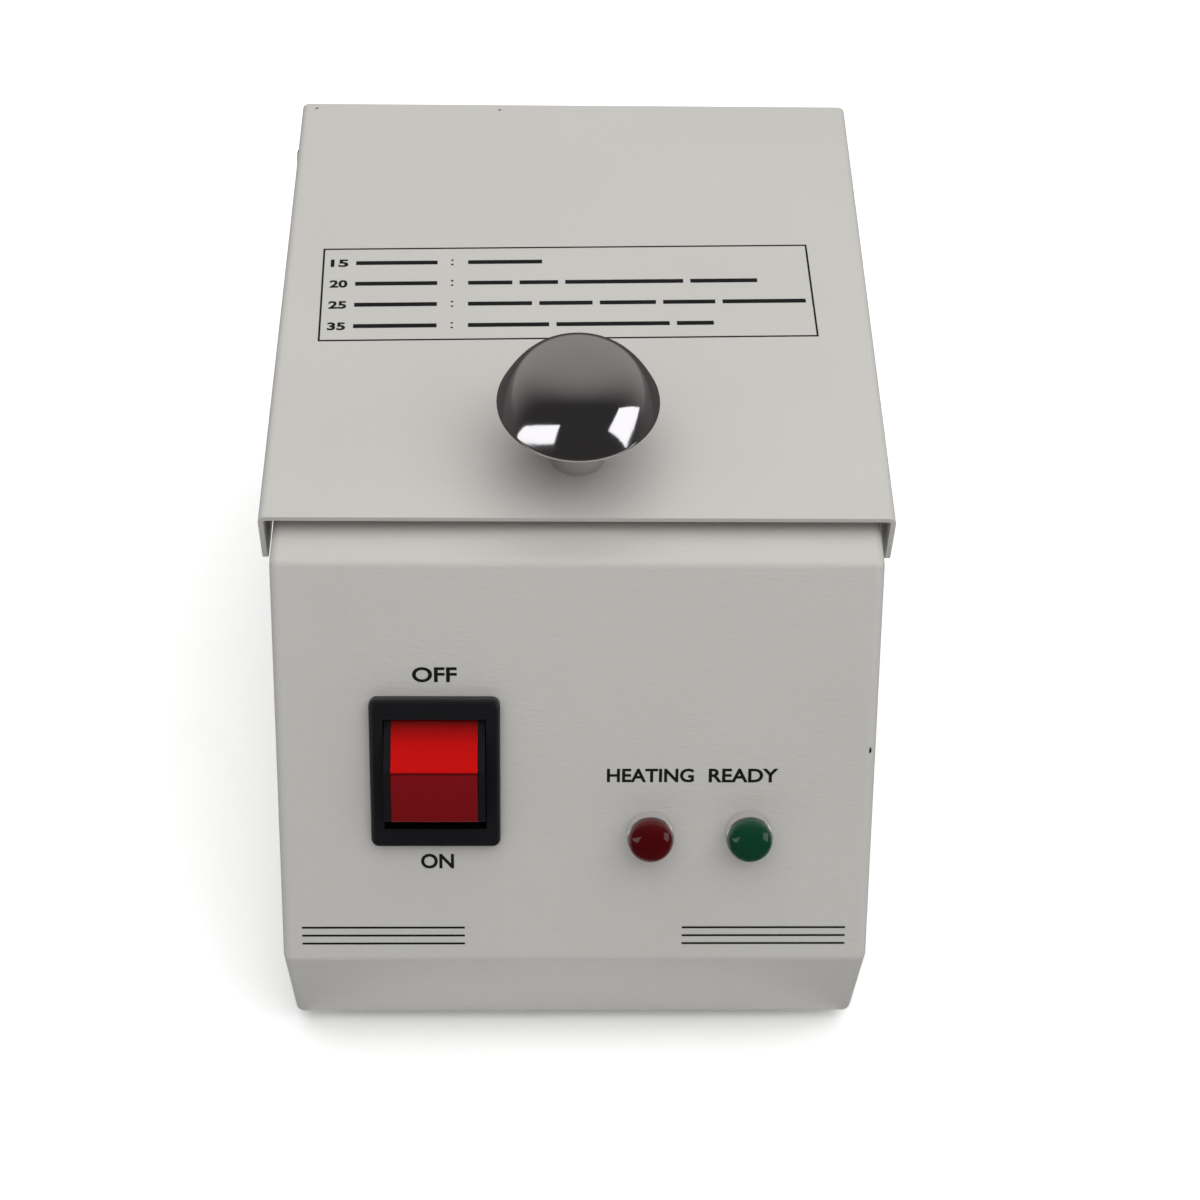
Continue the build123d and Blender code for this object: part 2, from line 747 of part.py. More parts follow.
def make_lens():
    """The red window: a roof-shaped cap let into the rocker."""
    cap = extrude(
        rocker_section(rocker_half_length, rocker_end_height + lens_proud, rocker_skirt),
        amount=lens_width / 2, both=True,
    )
    cap = fillet(crown_edges(cap), rocker_round)
    return in_switch(cap - room_under_window())


def make_rocker():
    """The rocker's black carrier with its two trunnions."""
    width = opening_width - 2 * rocker_clearance
    frame = extrude(
        rocker_section(rocker_half_length, rocker_end_height, rocker_skirt),
        amount=width / 2, both=True,
    )
    frame = fillet(crown_edges(frame), rocker_round)
    window = Box(lens_width + fit_gap, 3 * rocker_half_length, 3 * rocker_half_length)
    frame -= window - room_under_window()
    for side in (-1, 1):
        trunnion = disc(trunnion_radius, 0, width / 2 + rocker_clearance + housing_wall - side_play)
        frame += Rot(0, side * 90, 0) * trunnion
    return in_switch(frame)


def make_switch_tabs():
    """The four flat connectors behind the switch."""
    tab = Box(tab_sheet, tab_width, tab_length, align=(Align.CENTER, Align.CENTER, Align.MAX))
    tabs = []
    for x in (-opening_width / 4, opening_width / 4):
        for y in (-opening_height / 4, opening_height / 4):
            tabs.append(on_panel(switch_x + x, switch_down - y, -housing_depth) * tab)
    return group(tabs)


def make_lamp_collar(x):
    """A lamp's bright collar with the barrel that passes through the panel."""
    collar = disc(lamp_collar_radius, 0, lamp_collar_height)
    collar = fillet(collar.edges().sort_by(Axis.Z)[-1], lamp_collar_round)
    collar += disc(lamp_barrel, -lamp_barrel_length, 0)
    collar -= disc(lamp_bore, -lamp_barrel_length + lamp_floor, lamp_collar_height + cut_over)
    return on_panel(x, lamp_down) * collar


def make_lamp_lens(x):
    """A lamp's domed lens, with a stem down inside its collar."""
    base = lamp_collar_height
    shoulder = base + lamp_lens_straight
    top = shoulder + lamp_lens_dome
    crown_start = (lamp_lens_radius * 0.78, top - lamp_crown_drop)
    with BuildSketch(Plane.XZ) as section:
        with BuildLine():
            Line((0, base - lamp_stem), (lamp_bore - fit_gap, base - lamp_stem))
            Line((lamp_bore - fit_gap, base - lamp_stem), (lamp_bore - fit_gap, base))
            Line((lamp_bore - fit_gap, base), (lamp_lens_radius, base))
            Line((lamp_lens_radius, base), (lamp_lens_radius, shoulder))
            TangentArc((lamp_lens_radius, shoulder), crown_start, tangent=(0, 1))
            Spline(
                crown_start,
                (0, top),
                tangents=[(-1, lamp_crown_slope), (-1, 0)],
            )
            Line((0, top), (0, base - lamp_stem))
        make_face()
    return on_panel(x, lamp_down) * revolve(section.sketch, axis=Axis.Z)


def make_lamp_nut(x):
    """The nut that holds a lamp behind the panel."""
    piece = nut(lamp_nut_flats, lamp_barrel + fit_gap / 2, lamp_nut_thickness)
    return on_panel(x, lamp_down, -body_sheet - lamp_nut_thickness) * piece


def make_bulb(x):
    """The neon bulb standing in a lamp's barrel."""
    floor = -lamp_barrel_length + lamp_floor
    bulb = disc(bulb_radius, floor, floor + bulb_length)
    bulb = fillet(bulb.edges().sort_by(Axis.Z)[-1], bulb_radius * 0.9)
    return on_panel(x, lamp_down) * bulb


def make_grommet():
    """The rubber ring that lines the mains cord's hole."""
    inner_end = -body_sheet - grommet_inner
    grommet = disc(grommet_flange, 0, grommet_outer)
    grommet = fillet(grommet.edges().sort_by(Axis.Z)[-1], grommet_outer * 0.5)
    grommet += disc(grommet_groove, -body_sheet, 0)
    grommet += disc(grommet_flange - grommet_inner_step, inner_end, -body_sheet)
    grommet -= disc(grommet_bore, inner_end - cut_over, grommet_outer + cut_over)
    return on_back(grommet_x, grommet_height) * grommet


def make_fuse_body():
    """The fuse holder's barrel with its flange on the back wall."""
    body = disc(fuse_flange, 0, fuse_flange_thickness)
    body = fillet(body.edges().sort_by(Axis.Z)[-1], fuse_round)
    body += disc(fuse_barrel, -fuse_depth, 0)
    body -= disc(fuse_bore, -fuse_depth + fuse_floor, fuse_flange_thickness + cut_over)
    contact = Box(tab_sheet, tab_width, tab_length, align=(Align.CENTER, Align.CENTER, Align.MAX))
    body += Pos(0, 0, -fuse_depth) * contact
    return on_back(fuse_x, fuse_height) * body


def make_fuse_nut():
    """The nut that clamps the fuse holder to the back wall."""
    piece = nut(fuse_nut_flats, fuse_barrel + fit_gap / 2, lamp_nut_thickness)
    return on_back(fuse_x, fuse_height) * Pos(0, 0, -body_sheet - lamp_nut_thickness) * piece


def make_fuse_cap():
    """The fuse holder's quarter-turn cap: a fluted grip and a hollow stem."""
    face = fuse_flange_thickness + fit_gap
    cap = disc(fuse_cap_radius, face, face + fuse_cap_height)
    cap = fillet(cap.edges().sort_by(Axis.Z)[-1], fuse_round)
    flute = disc(flute_radius, face + flute_start, face + fuse_cap_height + cut_over)
    flute_circle = fuse_cap_radius + flute_radius / 3
    for turn in range(flute_count):
        cap -= Rot(0, 0, turn * 360 / flute_count) * Pos(flute_circle, 0, 0) * flute
    coin_slot = Box(1.5 * fuse_cap_radius, coin_slot_width, 2 * coin_slot_depth)
    cap -= Pos(0, 0, face + fuse_cap_height) * coin_slot
    stem_end = face - fuse_stem_length
    cap += disc(fuse_bore - running_clearance, stem_end, face)
    cap -= disc(fuse_link_radius + fit_gap / 2, stem_end - cut_over, face - fuse_cap_cover)
    return on_back(fuse_x, fuse_height) * cap


def make_fuse_link():
    """The sealed cartridge fuse, held in the cap's stem."""
    top = fuse_flange_thickness + fit_gap - fuse_cap_cover
    link = disc(fuse_link_radius, top - fuse_link_length, top)
    return on_back(fuse_x, fuse_height) * link


def make_block():
    """The three-way terminal block, with a pair of towers for each wire."""
    block = slab(block_length, block_width, 0, block_height, block_corner)
    tower_shift = block_width / 2 - tower_radius - tower_margin
    for pole in (-1, 0, 1):
        for shift in (-tower_shift, tower_shift):
            block += Pos(pole * block_pitch, shift, 0) * disc(tower_radius, 0, block_height + tower_height)
    for pole in (-1, 0, 1):
        for shift in (-tower_shift, tower_shift):
            screw_well = disc(block_well, block_height / 2, block_height + tower_height + cut_over)
            block -= Pos(pole * block_pitch, shift, 0) * screw_well
        tunnel = Rot(90, 0, 0) * disc(block_tunnel, -block_width, block_width)
        block -= Pos(pole * block_pitch, 0, block_height / 2) * tunnel
    for shift in (-block_screw_offset, block_screw_offset):
        block -= Pos(shift, 0, 0) * disc(tapping_radius + fit_gap, -cut_over, block_height + cut_over)
    return block_place * block


def make_block_inserts():
    """The brass sleeves inside the terminal block."""
    half_length = block_width / 2 - sleeve_inset
    sleeve = Rot(90, 0, 0) * ring(sleeve_radius, sleeve_bore, -half_length, half_length)
    height = block_height / 2
    return group([block_place * Pos(pole * block_pitch, 0, height) * sleeve for pole in (-1, 0, 1)])


def make_block_screws():
    """Two screws that hold the terminal block down on the tray."""
    length = block_height + tray_sheet + tapping_beyond / 2
    piece = screw(tapping_radius - tapping_play, block_screw_head, block_screw_head_height, length)
    shifts = (-block_screw_offset, block_screw_offset)
    return group([block_place * Pos(shift, 0, block_height) * piece for shift in shifts])


def make_earth_stud():
    """The earth stud: a screw up through the tray with a nut on it."""
    bolt = Rot(180, 0, 0) * screw(m4_radius, m4_head, m4_head_height, earth_bolt_length)
    bolt = Pos(0, 0, -tray_sheet) * bolt
    stud_nut = nut(m4_nut_flats, m4_radius + fit_gap / 2, m4_nut_thickness)
    return group([earth_place * bolt, earth_place * stud_nut])


nodes = {
    "casing_shell": make_casing(),
    "base_tray": make_tray(),
    "casing_screws": make_casing_screws(),
    "foot_screws": make_foot_screws(),
    "lid": make_lid(),
    "lid_knob": make_knob(),
    "knob_screw": make_knob_screw(),
    "lid_bumper_left": make_bumper(-1),
    "lid_bumper_right": make_bumper(1),
    "pivot_bush_left": make_pivot_bush(-1),
    "pivot_bush_right": make_pivot_bush(1),
    "pivot_screw_left": make_pivot_screw(-1),
    "pivot_screw_right": make_pivot_screw(1),
    "pivot_nuts": make_pivot_nuts(),
    "bead_well": make_well(),
    "glass_beads": make_beads(),
    "well_collar": make_collar(),
    "heater_band": make_band(),
    "heater_clamp": make_clamp_screw(),
    "insulation_jacket": make_jacket(),
    "insulation_can": make_can(),
    "well_screws": make_well_screws(),
    "well_nuts": make_well_nuts(),
    "well_stud_nut": make_stud_nut(),
    "thermostat": make_thermostat(),
    "thermostat_screws": make_thermostat_screws(),
    "switch_housing": make_switch_housing(),
    "switch_rocker": make_rocker(),
    "rocker_lens": make_lens(),
    "switch_tabs": make_switch_tabs(),
    "cord_grommet": make_grommet(),
    "fuse_holder": make_fuse_body(),
    "fuse_nut": make_fuse_nut(),
    "fuse_cap": make_fuse_cap(),
    "fuse_link": make_fuse_link(),
    "terminal_block": make_block(),
    "terminal_sleeves": make_block_inserts(),
    "terminal_screws": make_block_screws(),
    "earth_stud": make_earth_stud(),
}
for name, (x, y) in foot_places.items():
    nodes[f"foot_{name}"] = make_foot(x, y)
for name, x in lamp_spots.items():
    nodes[f"lamp_collar_{name}"] = make_lamp_collar(x)
    nodes[f"lamp_lens_{name}"] = make_lamp_lens(x)
    nodes[f"lamp_nut_{name}"] = make_lamp_nut(x)
    nodes[f"lamp_bulb_{name}"] = make_bulb(x)

os.makedirs("parts", exist_ok=True)
for name, shape in nodes.items():
    export_step(shape, f"parts/{name}.step")
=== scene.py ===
# %% [markdown]
# A small bench sterilizer is rebuilt here in Blender on top of its CAD model. The CAD gives every
# rigid piece its real size and place. This script adds what the eye needs: finishes, printed
# marks, the bed of glass beads, lamps and a camera. All lengths are in metres.

# %% Load the frame
import math
import random
import bpy
from mathutils import Matrix, Vector


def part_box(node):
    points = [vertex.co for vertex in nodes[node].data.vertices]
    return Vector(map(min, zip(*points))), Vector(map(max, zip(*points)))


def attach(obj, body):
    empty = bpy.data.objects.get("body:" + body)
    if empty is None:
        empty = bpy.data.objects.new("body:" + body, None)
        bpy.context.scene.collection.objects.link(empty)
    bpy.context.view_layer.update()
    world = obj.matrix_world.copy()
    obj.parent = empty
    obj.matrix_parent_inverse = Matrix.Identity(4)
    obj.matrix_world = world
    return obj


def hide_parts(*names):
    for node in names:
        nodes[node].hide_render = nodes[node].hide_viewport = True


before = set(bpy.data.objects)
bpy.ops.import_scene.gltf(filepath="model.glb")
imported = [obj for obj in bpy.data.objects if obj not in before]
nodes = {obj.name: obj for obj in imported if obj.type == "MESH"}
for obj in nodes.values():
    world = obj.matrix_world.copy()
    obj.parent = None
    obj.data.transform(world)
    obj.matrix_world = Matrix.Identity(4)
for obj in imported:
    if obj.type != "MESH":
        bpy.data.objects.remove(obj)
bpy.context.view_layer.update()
print("pieces loaded:", len(nodes))

# %% [markdown]
# Places are worked out from the loaded pieces. The sloped front panel starts at the bend in front
# of the deck, so one matrix takes a flat drawing to the panel: its x runs across, its y runs up
# the slope and its z stands out of the sheet. A second matrix does the same for the lid.

# %% Find the main places
MM = 0.001
panel_rise = 71 * MM
panel_run = 44 * MM
deck_length = 128.3 * MM

casing_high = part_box("casing_shell")[1]
lid_low, lid_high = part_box("lid")
upper_bend = Vector((0, casing_high.y - deck_length, casing_high.z))
panel_up = Vector((0, panel_run, panel_rise)).normalized()
panel_out = Vector((0, -panel_rise, panel_run)).normalized()
panel_place = Matrix((
    (1, 0, 0, 0),
    (0, panel_up.y, panel_out.y, upper_bend.y),
    (0, panel_up.z, panel_out.z, upper_bend.z),
    (0, 0, 0, 1),
))
lid_place = Matrix.Translation((0, lid_low.y, lid_high.z))
print("upper bend of the panel:", tuple(round(v, 4) for v in upper_bend))

# %% [markdown]
# A colour picked on a screen is an sRGB value, but a shader works with linear light. One function
# turns a hex code into what a socket expects. Another adds a node with its settings and links, so
# that each material below reads as a short list from its patterns to its output.

# %% Helpers for colours and nodes
# A Mix node has sockets for each kind of value. These are the numbers of its colour sockets.
mix_first, mix_second, mix_colour = 6, 7, 2


def linear(code):
    """Turns an sRGB hex code into linear light."""
    shades = [int(code[i:i + 2], 16) / 255 for i in (1, 3, 5)]
    return tuple(s / 12.92 if s <= 0.04045 else ((s + 0.055) / 1.055) ** 2.4 for s in shades) + (1,)


def add_node(tree, kind, inputs=None, **settings):
    """Adds a node, sets it up, and fills each input with a value or with another node's output."""
    node = tree.nodes.new(kind)
    for name, value in settings.items():
        setattr(node, name, value)
    for name, value in (inputs or {}).items():
        if isinstance(value, bpy.types.NodeSocket):
            tree.links.new(value, node.inputs[name])
        else:
            node.inputs[name].default_value = value
    return node


def new_material(name):
    """An empty material, its node tree, and the place of each point of the piece in metres."""
    material = bpy.data.materials.new(name)
    material.use_nodes = True
    tree = material.node_tree
    tree.nodes.clear()
    place = add_node(tree, "ShaderNodeTexCoord").outputs["Object"]
    return material, tree, place


finishes = {}
print("a middle grey in linear light:", round(linear("#808080")[0], 3))

# %% [markdown]
# The casing and lid are folded steel with a powder coat. The powder melts in an oven and freezes
# with a fine ripple, called orange peel. On these sheets it is drawn out sideways, about 0.7 mm
# high and 2 mm wide. The ripple breaks the light up, so the coat looks soft although its resin is
# shiny. Stretched noise drives the relief, and a wide, faint noise stops the large flat faces from
# looking like a single fill. The tray underneath has a darker coat.

# %% Powder coat
ripple_height = 0.65 * MM
ripple_stretch = (0.35, 1, 1)
ripple_depth = 0.075 * MM
cloud_size = 35 * MM


def powder_coat(name, light, dark):
    """A rippled coat whose tone drifts between two near colours."""
    material, tree, place = new_material(name)
    stretched = add_node(tree, "ShaderNodeMapping", {"Vector": place, "Scale": ripple_stretch})
    peel = add_node(tree, "ShaderNodeTexNoise", {
        "Vector": stretched.outputs["Vector"], "Scale": 1 / ripple_height, "Detail": 3,
    }).outputs["Fac"]
    cloud = add_node(tree, "ShaderNodeTexNoise", {
        "Vector": place, "Scale": 1 / cloud_size, "Detail": 2,
    }).outputs["Fac"]
    tone = add_node(tree, "ShaderNodeMix", {
        "Factor": cloud, mix_first: linear(light), mix_second: linear(dark),
    }, data_type="RGBA")
    rough = add_node(tree, "ShaderNodeMapRange", {"Value": peel, "To Min": 0.42, "To Max": 0.58})
    relief = add_node(tree, "ShaderNodeBump", {"Height": peel, "Distance": ripple_depth})
    coat = add_node(tree, "ShaderNodeBsdfPrincipled", {
        "Base Color": tone.outputs[mix_colour],
        "Roughness": rough.outputs["Result"],
        "IOR": 1.5,
        "Normal": relief.outputs["Normal"],
    })
    add_node(tree, "ShaderNodeOutputMaterial", {"Surface": coat.outputs["BSDF"]})
    return material


finishes["casing_paint"] = powder_coat("powder_coated_steel", "#cecdc8", "#c9c7c2")
finishes["tray_steel"] = powder_coat("powder_coated_tray", "#b4b2ad", "#aeaba6")
ripple_width = ripple_height / ripple_stretch[0]
print("ripple in mm:", ripple_height / MM, "high and", round(ripple_width / MM, 1), "wide")

# %% [markdown]
# Bare metals are all one family: fully metallic, with a tint and a roughness from how the surface
# was made. Chrome plate is a mirror and zinc plate is a little cloudy. The heated band has taken a
# straw tint and dulled. Spun aluminium is soft and pale, tinned brass is a greyish yellow, and
# turned brass is warm and bright. Noise draws the marks of handling.

# %% Bare metals
def bare_metal(name, tint, smooth, rough, mark, depth, metallic=1.0):
    """A metal whose roughness wanders from smooth to rough, with marks of this size and depth."""
    material, tree, place = new_material(name)
    marks = add_node(tree, "ShaderNodeTexNoise", {
        "Vector": place, "Scale": 1 / mark, "Detail": 4,
    }).outputs["Fac"]
    wander = add_node(tree, "ShaderNodeMapRange", {"Value": marks, "To Min": smooth, "To Max": rough})
    relief = add_node(tree, "ShaderNodeBump", {"Height": marks, "Distance": depth})
    metal = add_node(tree, "ShaderNodeBsdfPrincipled", {
        "Base Color": linear(tint),
        "Metallic": metallic,
        "Roughness": wander.outputs["Result"],
        "Normal": relief.outputs["Normal"],
    })
    add_node(tree, "ShaderNodeOutputMaterial", {"Surface": metal.outputs["BSDF"]})
    return material


# Each line holds the name, tint, lowest and highest roughness, and the marks' size and depth.
metals = {
    "knob_chrome": ("polished_chrome_plate", "#dddadb", 0.05, 0.11, 3 * MM, 0.0005 * MM),
    "bright_zinc": ("bright_zinc_plate", "#c3c6ca", 0.2, 0.36, 0.8 * MM, 0.003 * MM),
    "band_steel": ("heated_stainless_band", "#a39a8c", 0.28, 0.42, 1.5 * MM, 0.004 * MM),
    "can_aluminium": ("spun_aluminium", "#c9cbcd", 0.3, 0.42, 0.6 * MM, 0.003 * MM),
    "tinned_brass": ("tinned_brass_strip", "#cfc5a0", 0.25, 0.38, 0.8 * MM, 0.002 * MM),
    "bush_brass": ("turned_brass", "#caa55c", 0.2, 0.32, 0.5 * MM, 0.002 * MM),
}
for slot_name, settings in metals.items():
    finishes[slot_name] = bare_metal(*settings)
print("bare metals:", len(metals))

# %% [markdown]
# The bead well is turned from stainless steel, and the tool leaves rings round the well's axis.
# They catch the light as a fan of short streaks. Real rings lie about 0.2 mm apart, which is too
# fine to show here, so they are drawn 3 mm apart and broken up by noise. A ring wave about the
# well's axis gives both the relief and the roughness.

# %% Turned steel of the well
ring_spacing = 3.14 * MM
ring_depth = 0.002 * MM

well_low, well_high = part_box("bead_well")
well_axis = (well_low.y + well_high.y) / 2


def turned_steel(name, tint):
    """A metal with the rings of a lathe tool. A Wave node of scale 1 repeats every pi / 10."""
    material, tree, place = new_material(name)
    centred = add_node(tree, "ShaderNodeMapping", {"Vector": place, "Location": (0, -well_axis, 0)})
    rings = add_node(tree, "ShaderNodeTexWave", {
        "Vector": centred.outputs["Vector"],
        "Scale": math.pi / 10 / ring_spacing,
        "Distortion": 1.5,
        "Detail": 2,
    }, wave_type="RINGS", rings_direction="Z").outputs["Fac"]
    rough = add_node(tree, "ShaderNodeMapRange", {"Value": rings, "To Min": 0.2, "To Max": 0.32})
    relief = add_node(tree, "ShaderNodeBump", {"Height": rings, "Distance": ring_depth})
    metal = add_node(tree, "ShaderNodeBsdfPrincipled", {
        "Base Color": linear(tint),
        "Metallic": 1.0,
        "Roughness": rough.outputs["Result"],
        "Normal": relief.outputs["Normal"],
    })
    add_node(tree, "ShaderNodeOutputMaterial", {"Surface": metal.outputs["BSDF"]})
    return material


finishes["well_steel"] = turned_steel("turned_stainless_steel", "#cfcdc8")
print("axis of the well at y:", round(well_axis, 5))

# %% [markdown]
# The lamp collars are anodised aluminium. The milky oxide skin scatters some of the light before
# the metal below can mirror it, so the finish is only partly metallic and looks paler and softer
# than bare metal.

# %% Anodised lamp collars
finishes["lamp_chrome"] = bare_metal(
    "satin_anodised_aluminium", "#dedbdb", 0.2, 0.3, 1 * MM, 0.001 * MM, metallic=0.8
)
print("collar finish:", finishes["lamp_chrome"].name)

# %% [markdown]
# Plastics, rubber, ceramic and felt are not metals. Each has a body colour, a roughness and a fine
# texture from its mould or its fibres. Nylon has a faint satin grain, phenolic is brown and a bit
# smoother, and rubber is nearly black and dull. Unglazed ceramic looks like fine chalk, and fibre
# felt is rough enough to have no highlight at all.

# %% Moulded and fired materials
cloud_per_texture = 12
rough_drift = 0.06


def moulded(name, colour, shade, rough, texture, depth, ior):
    """A solid-coloured material with a fine texture of this size and depth."""
    material, tree, place = new_material(name)
    skin = add_node(tree, "ShaderNodeTexNoise", {
        "Vector": place, "Scale": 1 / texture, "Detail": 3,
    }).outputs["Fac"]
    cloud = add_node(tree, "ShaderNodeTexNoise", {
        "Vector": place, "Scale": 1 / (cloud_per_texture * texture), "Detail": 2,
    }).outputs["Fac"]
    tone = add_node(tree, "ShaderNodeMix", {
        "Factor": cloud, mix_first: linear(colour), mix_second: linear(shade),
    }, data_type="RGBA")
    satin = add_node(tree, "ShaderNodeMapRange", {
        "Value": skin, "To Min": rough - rough_drift, "To Max": rough + rough_drift,
    })
    relief = add_node(tree, "ShaderNodeBump", {"Height": skin, "Distance": depth})
    body = add_node(tree, "ShaderNodeBsdfPrincipled", {
        "Base Color": tone.outputs[mix_colour],
        "Roughness": satin.outputs["Result"],
        "IOR": ior,
        "Normal": relief.outputs["Normal"],
    })
    add_node(tree, "ShaderNodeOutputMaterial", {"Surface": body.outputs["BSDF"]})
    return material


# Each line holds the name, two near colours, roughness, the texture's size and depth, and the IOR.
mouldings = {
    "black_nylon": ("black_moulded_nylon", "#131318", "#19191f", 0.4, 0.4 * MM, 0.008 * MM, 1.53),
    "phenolic": ("brown_phenolic", "#2b211b", "#231a15", 0.42, 0.7 * MM, 0.01 * MM, 1.6),
    "foot_rubber": ("moulded_black_rubber", "#1a1a1a", "#222222", 0.72, 0.6 * MM, 0.02 * MM, 1.52),
    "collar_ceramic": ("unglazed_steatite", "#ddd8cb", "#d3cdbf", 0.62, 0.6 * MM, 0.015 * MM, 1.55),
    "fibre": ("mineral_fibre_felt", "#d8d2c4", "#c9c1b0", 0.9, 1.2 * MM, 0.2 * MM, 1.5),
    "block_nylon": ("natural_nylon", "#e2dfd3", "#dad6c8", 0.45, 0.6 * MM, 0.01 * MM, 1.53),
}
for slot_name, settings in mouldings.items():
    finishes[slot_name] = moulded(*settings)
print("moulded and fired materials:", len(mouldings))

# %% [markdown]
# The two lamp caps are clear acrylic, dyed through. Light goes in, loses all but one colour and
# comes out again, so the dye belongs in the colour of a transmitting shader with a smooth, shiny
# skin. Their inner face is matt to spread the bulb's light, so only half of it passes. The glass of
# beads, bulbs and fuse is made the same way, without a dye. The beads are scratched by the
# instruments pushed into them and pass the least.

# %% Dyed clear plastics and glass
skin_drift = 0.04
skin_depth = 0.004 * MM


def dyed_clear(name, dye, through, rough, ior, wave):
    """A dyed clear material. The share through is how much of its light passes."""
    material, tree, place = new_material(name)
    flow = add_node(tree, "ShaderNodeTexNoise", {
        "Vector": place, "Scale": 1 / wave, "Detail": 1,
    }).outputs["Fac"]
    gloss = add_node(tree, "ShaderNodeMapRange", {
        "Value": flow, "To Min": rough, "To Max": rough + skin_drift,
    })
    relief = add_node(tree, "ShaderNodeBump", {"Height": flow, "Distance": skin_depth})
    clear = add_node(tree, "ShaderNodeBsdfPrincipled", {
        "Base Color": linear(dye),
        "Roughness": gloss.outputs["Result"],
        "IOR": ior,
        "Transmission Weight": through,
        "Normal": relief.outputs["Normal"],
    })
    add_node(tree, "ShaderNodeOutputMaterial", {"Surface": clear.outputs["BSDF"]})
    return material


# Each line holds the name, dye, share of light that passes, roughness, IOR and size of the waves.
clear_materials = {
    "lamp_red": ("red_acrylic", "#680c14", 0.5, 0.07, 1.49, 4 * MM),
    "lamp_green": ("green_acrylic", "#19573c", 0.5, 0.07, 1.49, 4 * MM),
    "bead_glass": ("soda_lime_glass", "#e9eceb", 0.35, 0.04, 1.52, 1 * MM),
    "bulb_glass": ("clear_bulb_glass", "#f2f2f2", 0.95, 0.02, 1.5, 4 * MM),
    "fuse_glass": ("clear_fuse_glass", "#eef2f2", 0.9, 0.03, 1.5, 4 * MM),
}
for slot_name, settings in clear_materials.items():
    finishes[slot_name] = dyed_clear(*settings)
print("clear materials:", len(clear_materials))

# %% [markdown]
# The switch window is red polycarbonate over a small lamp, one material over the whole rocker.
# Light and shade are painted into its colour: the upper face, which tips up towards the lamps, is
# painted bright red as if lit, and the lower face, which tips away, is painted a shaded wine red. A
# dark painted shade lies on the ridge, and a painted shadow darkens the top rim under the bezel. So
# a colour ramp runs up the window along the panel, from its lower edge to its upper one, and
# switches tone at the ridge.

# %% Measure the switch window
window_points = [vertex.co for vertex in nodes["rocker_lens"].data.vertices]
heights = [point.dot(panel_up) for point in window_points]
window_bottom, window_top = min(heights), max(heights)
ridge_height = max(window_points, key=lambda point: point.dot(panel_out)).dot(panel_up)
ridge = (ridge_height - window_bottom) / (window_top - window_bottom)
print("ridge of the window, as a share of its height:", round(ridge, 4))

# %% Red switch window with painted light
# Width of the painted shade on the ridge, height of the painted highlight on the upper face, and
# where the painted shadow of the top rim starts, as shares of the window's height.
painted_ridge_shade_width = 0.02
painted_highlight_height = 0.25
painted_rim_shadow_start = 0.97
smear_size = 2 * MM
flow_size = 1.2 * MM
flow_depth = 0.006 * MM
# Painted light and shade up the window: a shaded lower face, a dark painted shade on the ridge, a
# bright upper face painted as if lit, and a painted shadow at its top rim.
painted_window_tones = [
    (0.0, "#780f15"),
    (ridge - painted_ridge_shade_width, "#841018"),
    (ridge, "#3c0709"),
    (ridge + painted_ridge_shade_width, "#d00300"),
    (ridge + painted_highlight_height, "#c80000"),
    (painted_rim_shadow_start, "#7d0202"),
]


def painted_light_window():
    """Shiny red plastic with light and shade painted into its colour, changing at the ridge."""
    material, tree, place = new_material("red_polycarbonate_painted_light")
    along = add_node(tree, "ShaderNodeVectorMath", {0: place, 1: panel_up}, operation="DOT_PRODUCT")
    rise = add_node(tree, "ShaderNodeMapRange", {
        "Value": along.outputs["Value"], "From Min": window_bottom, "From Max": window_top,
    })
    tones = add_node(tree, "ShaderNodeValToRGB", {"Fac": rise.outputs["Result"]})
    ramp = tones.color_ramp.elements
    for number, (position, code) in enumerate(painted_window_tones):
        stop = ramp[number] if number < 2 else ramp.new(position)
        stop.position = position
        stop.color = linear(code)
    smears = add_node(tree, "ShaderNodeTexNoise", {
        "Vector": place, "Scale": 1 / smear_size, "Detail": 2,
    }).outputs["Fac"]
    flow = add_node(tree, "ShaderNodeTexNoise", {
        "Vector": place, "Scale": 1 / flow_size, "Detail": 2,
    }).outputs["Fac"]
    gloss = add_node(tree, "ShaderNodeMapRange", {"Value": smears, "To Min": 0.09, "To Max": 0.13})
    relief = add_node(tree, "ShaderNodeBump", {"Height": flow, "Distance": flow_depth})
    window = add_node(tree, "ShaderNodeBsdfPrincipled", {
        "Base Color": tones.outputs["Color"],
        "Roughness": gloss.outputs["Result"],
        "IOR": 1.58,
        "Normal": relief.outputs["Normal"],
    })
    add_node(tree, "ShaderNodeOutputMaterial", {"Surface": window.outputs["BSDF"]})
    return material


finishes["lens_red"] = painted_light_window()
print("tones up the window:", len(painted_window_tones))

# %% [markdown]
# Every CAD piece came in with one plain material, named for its slot in the record. Each slot
# is now given its real finish. Only the material changes: the mesh and its place stay.

# %% Give the CAD pieces their finishes
for node in nodes.values():
    for material_slot in node.material_slots:
        slot_name = material_slot.material.name
        material_slot.material = finishes.get(slot_name, material_slot.material)
print("finishes:", len(finishes))

# %% [markdown]
# The marks are screen printed: a flat film of black ink that follows the sheet. The ink dries dull
# and a little uneven, which fine noise in its tone, roughness and relief shows.

# %% Printing ink
ink_film = 0.03 * MM
ink_grain = 0.7 * MM
ink_ripple = 0.9 * MM


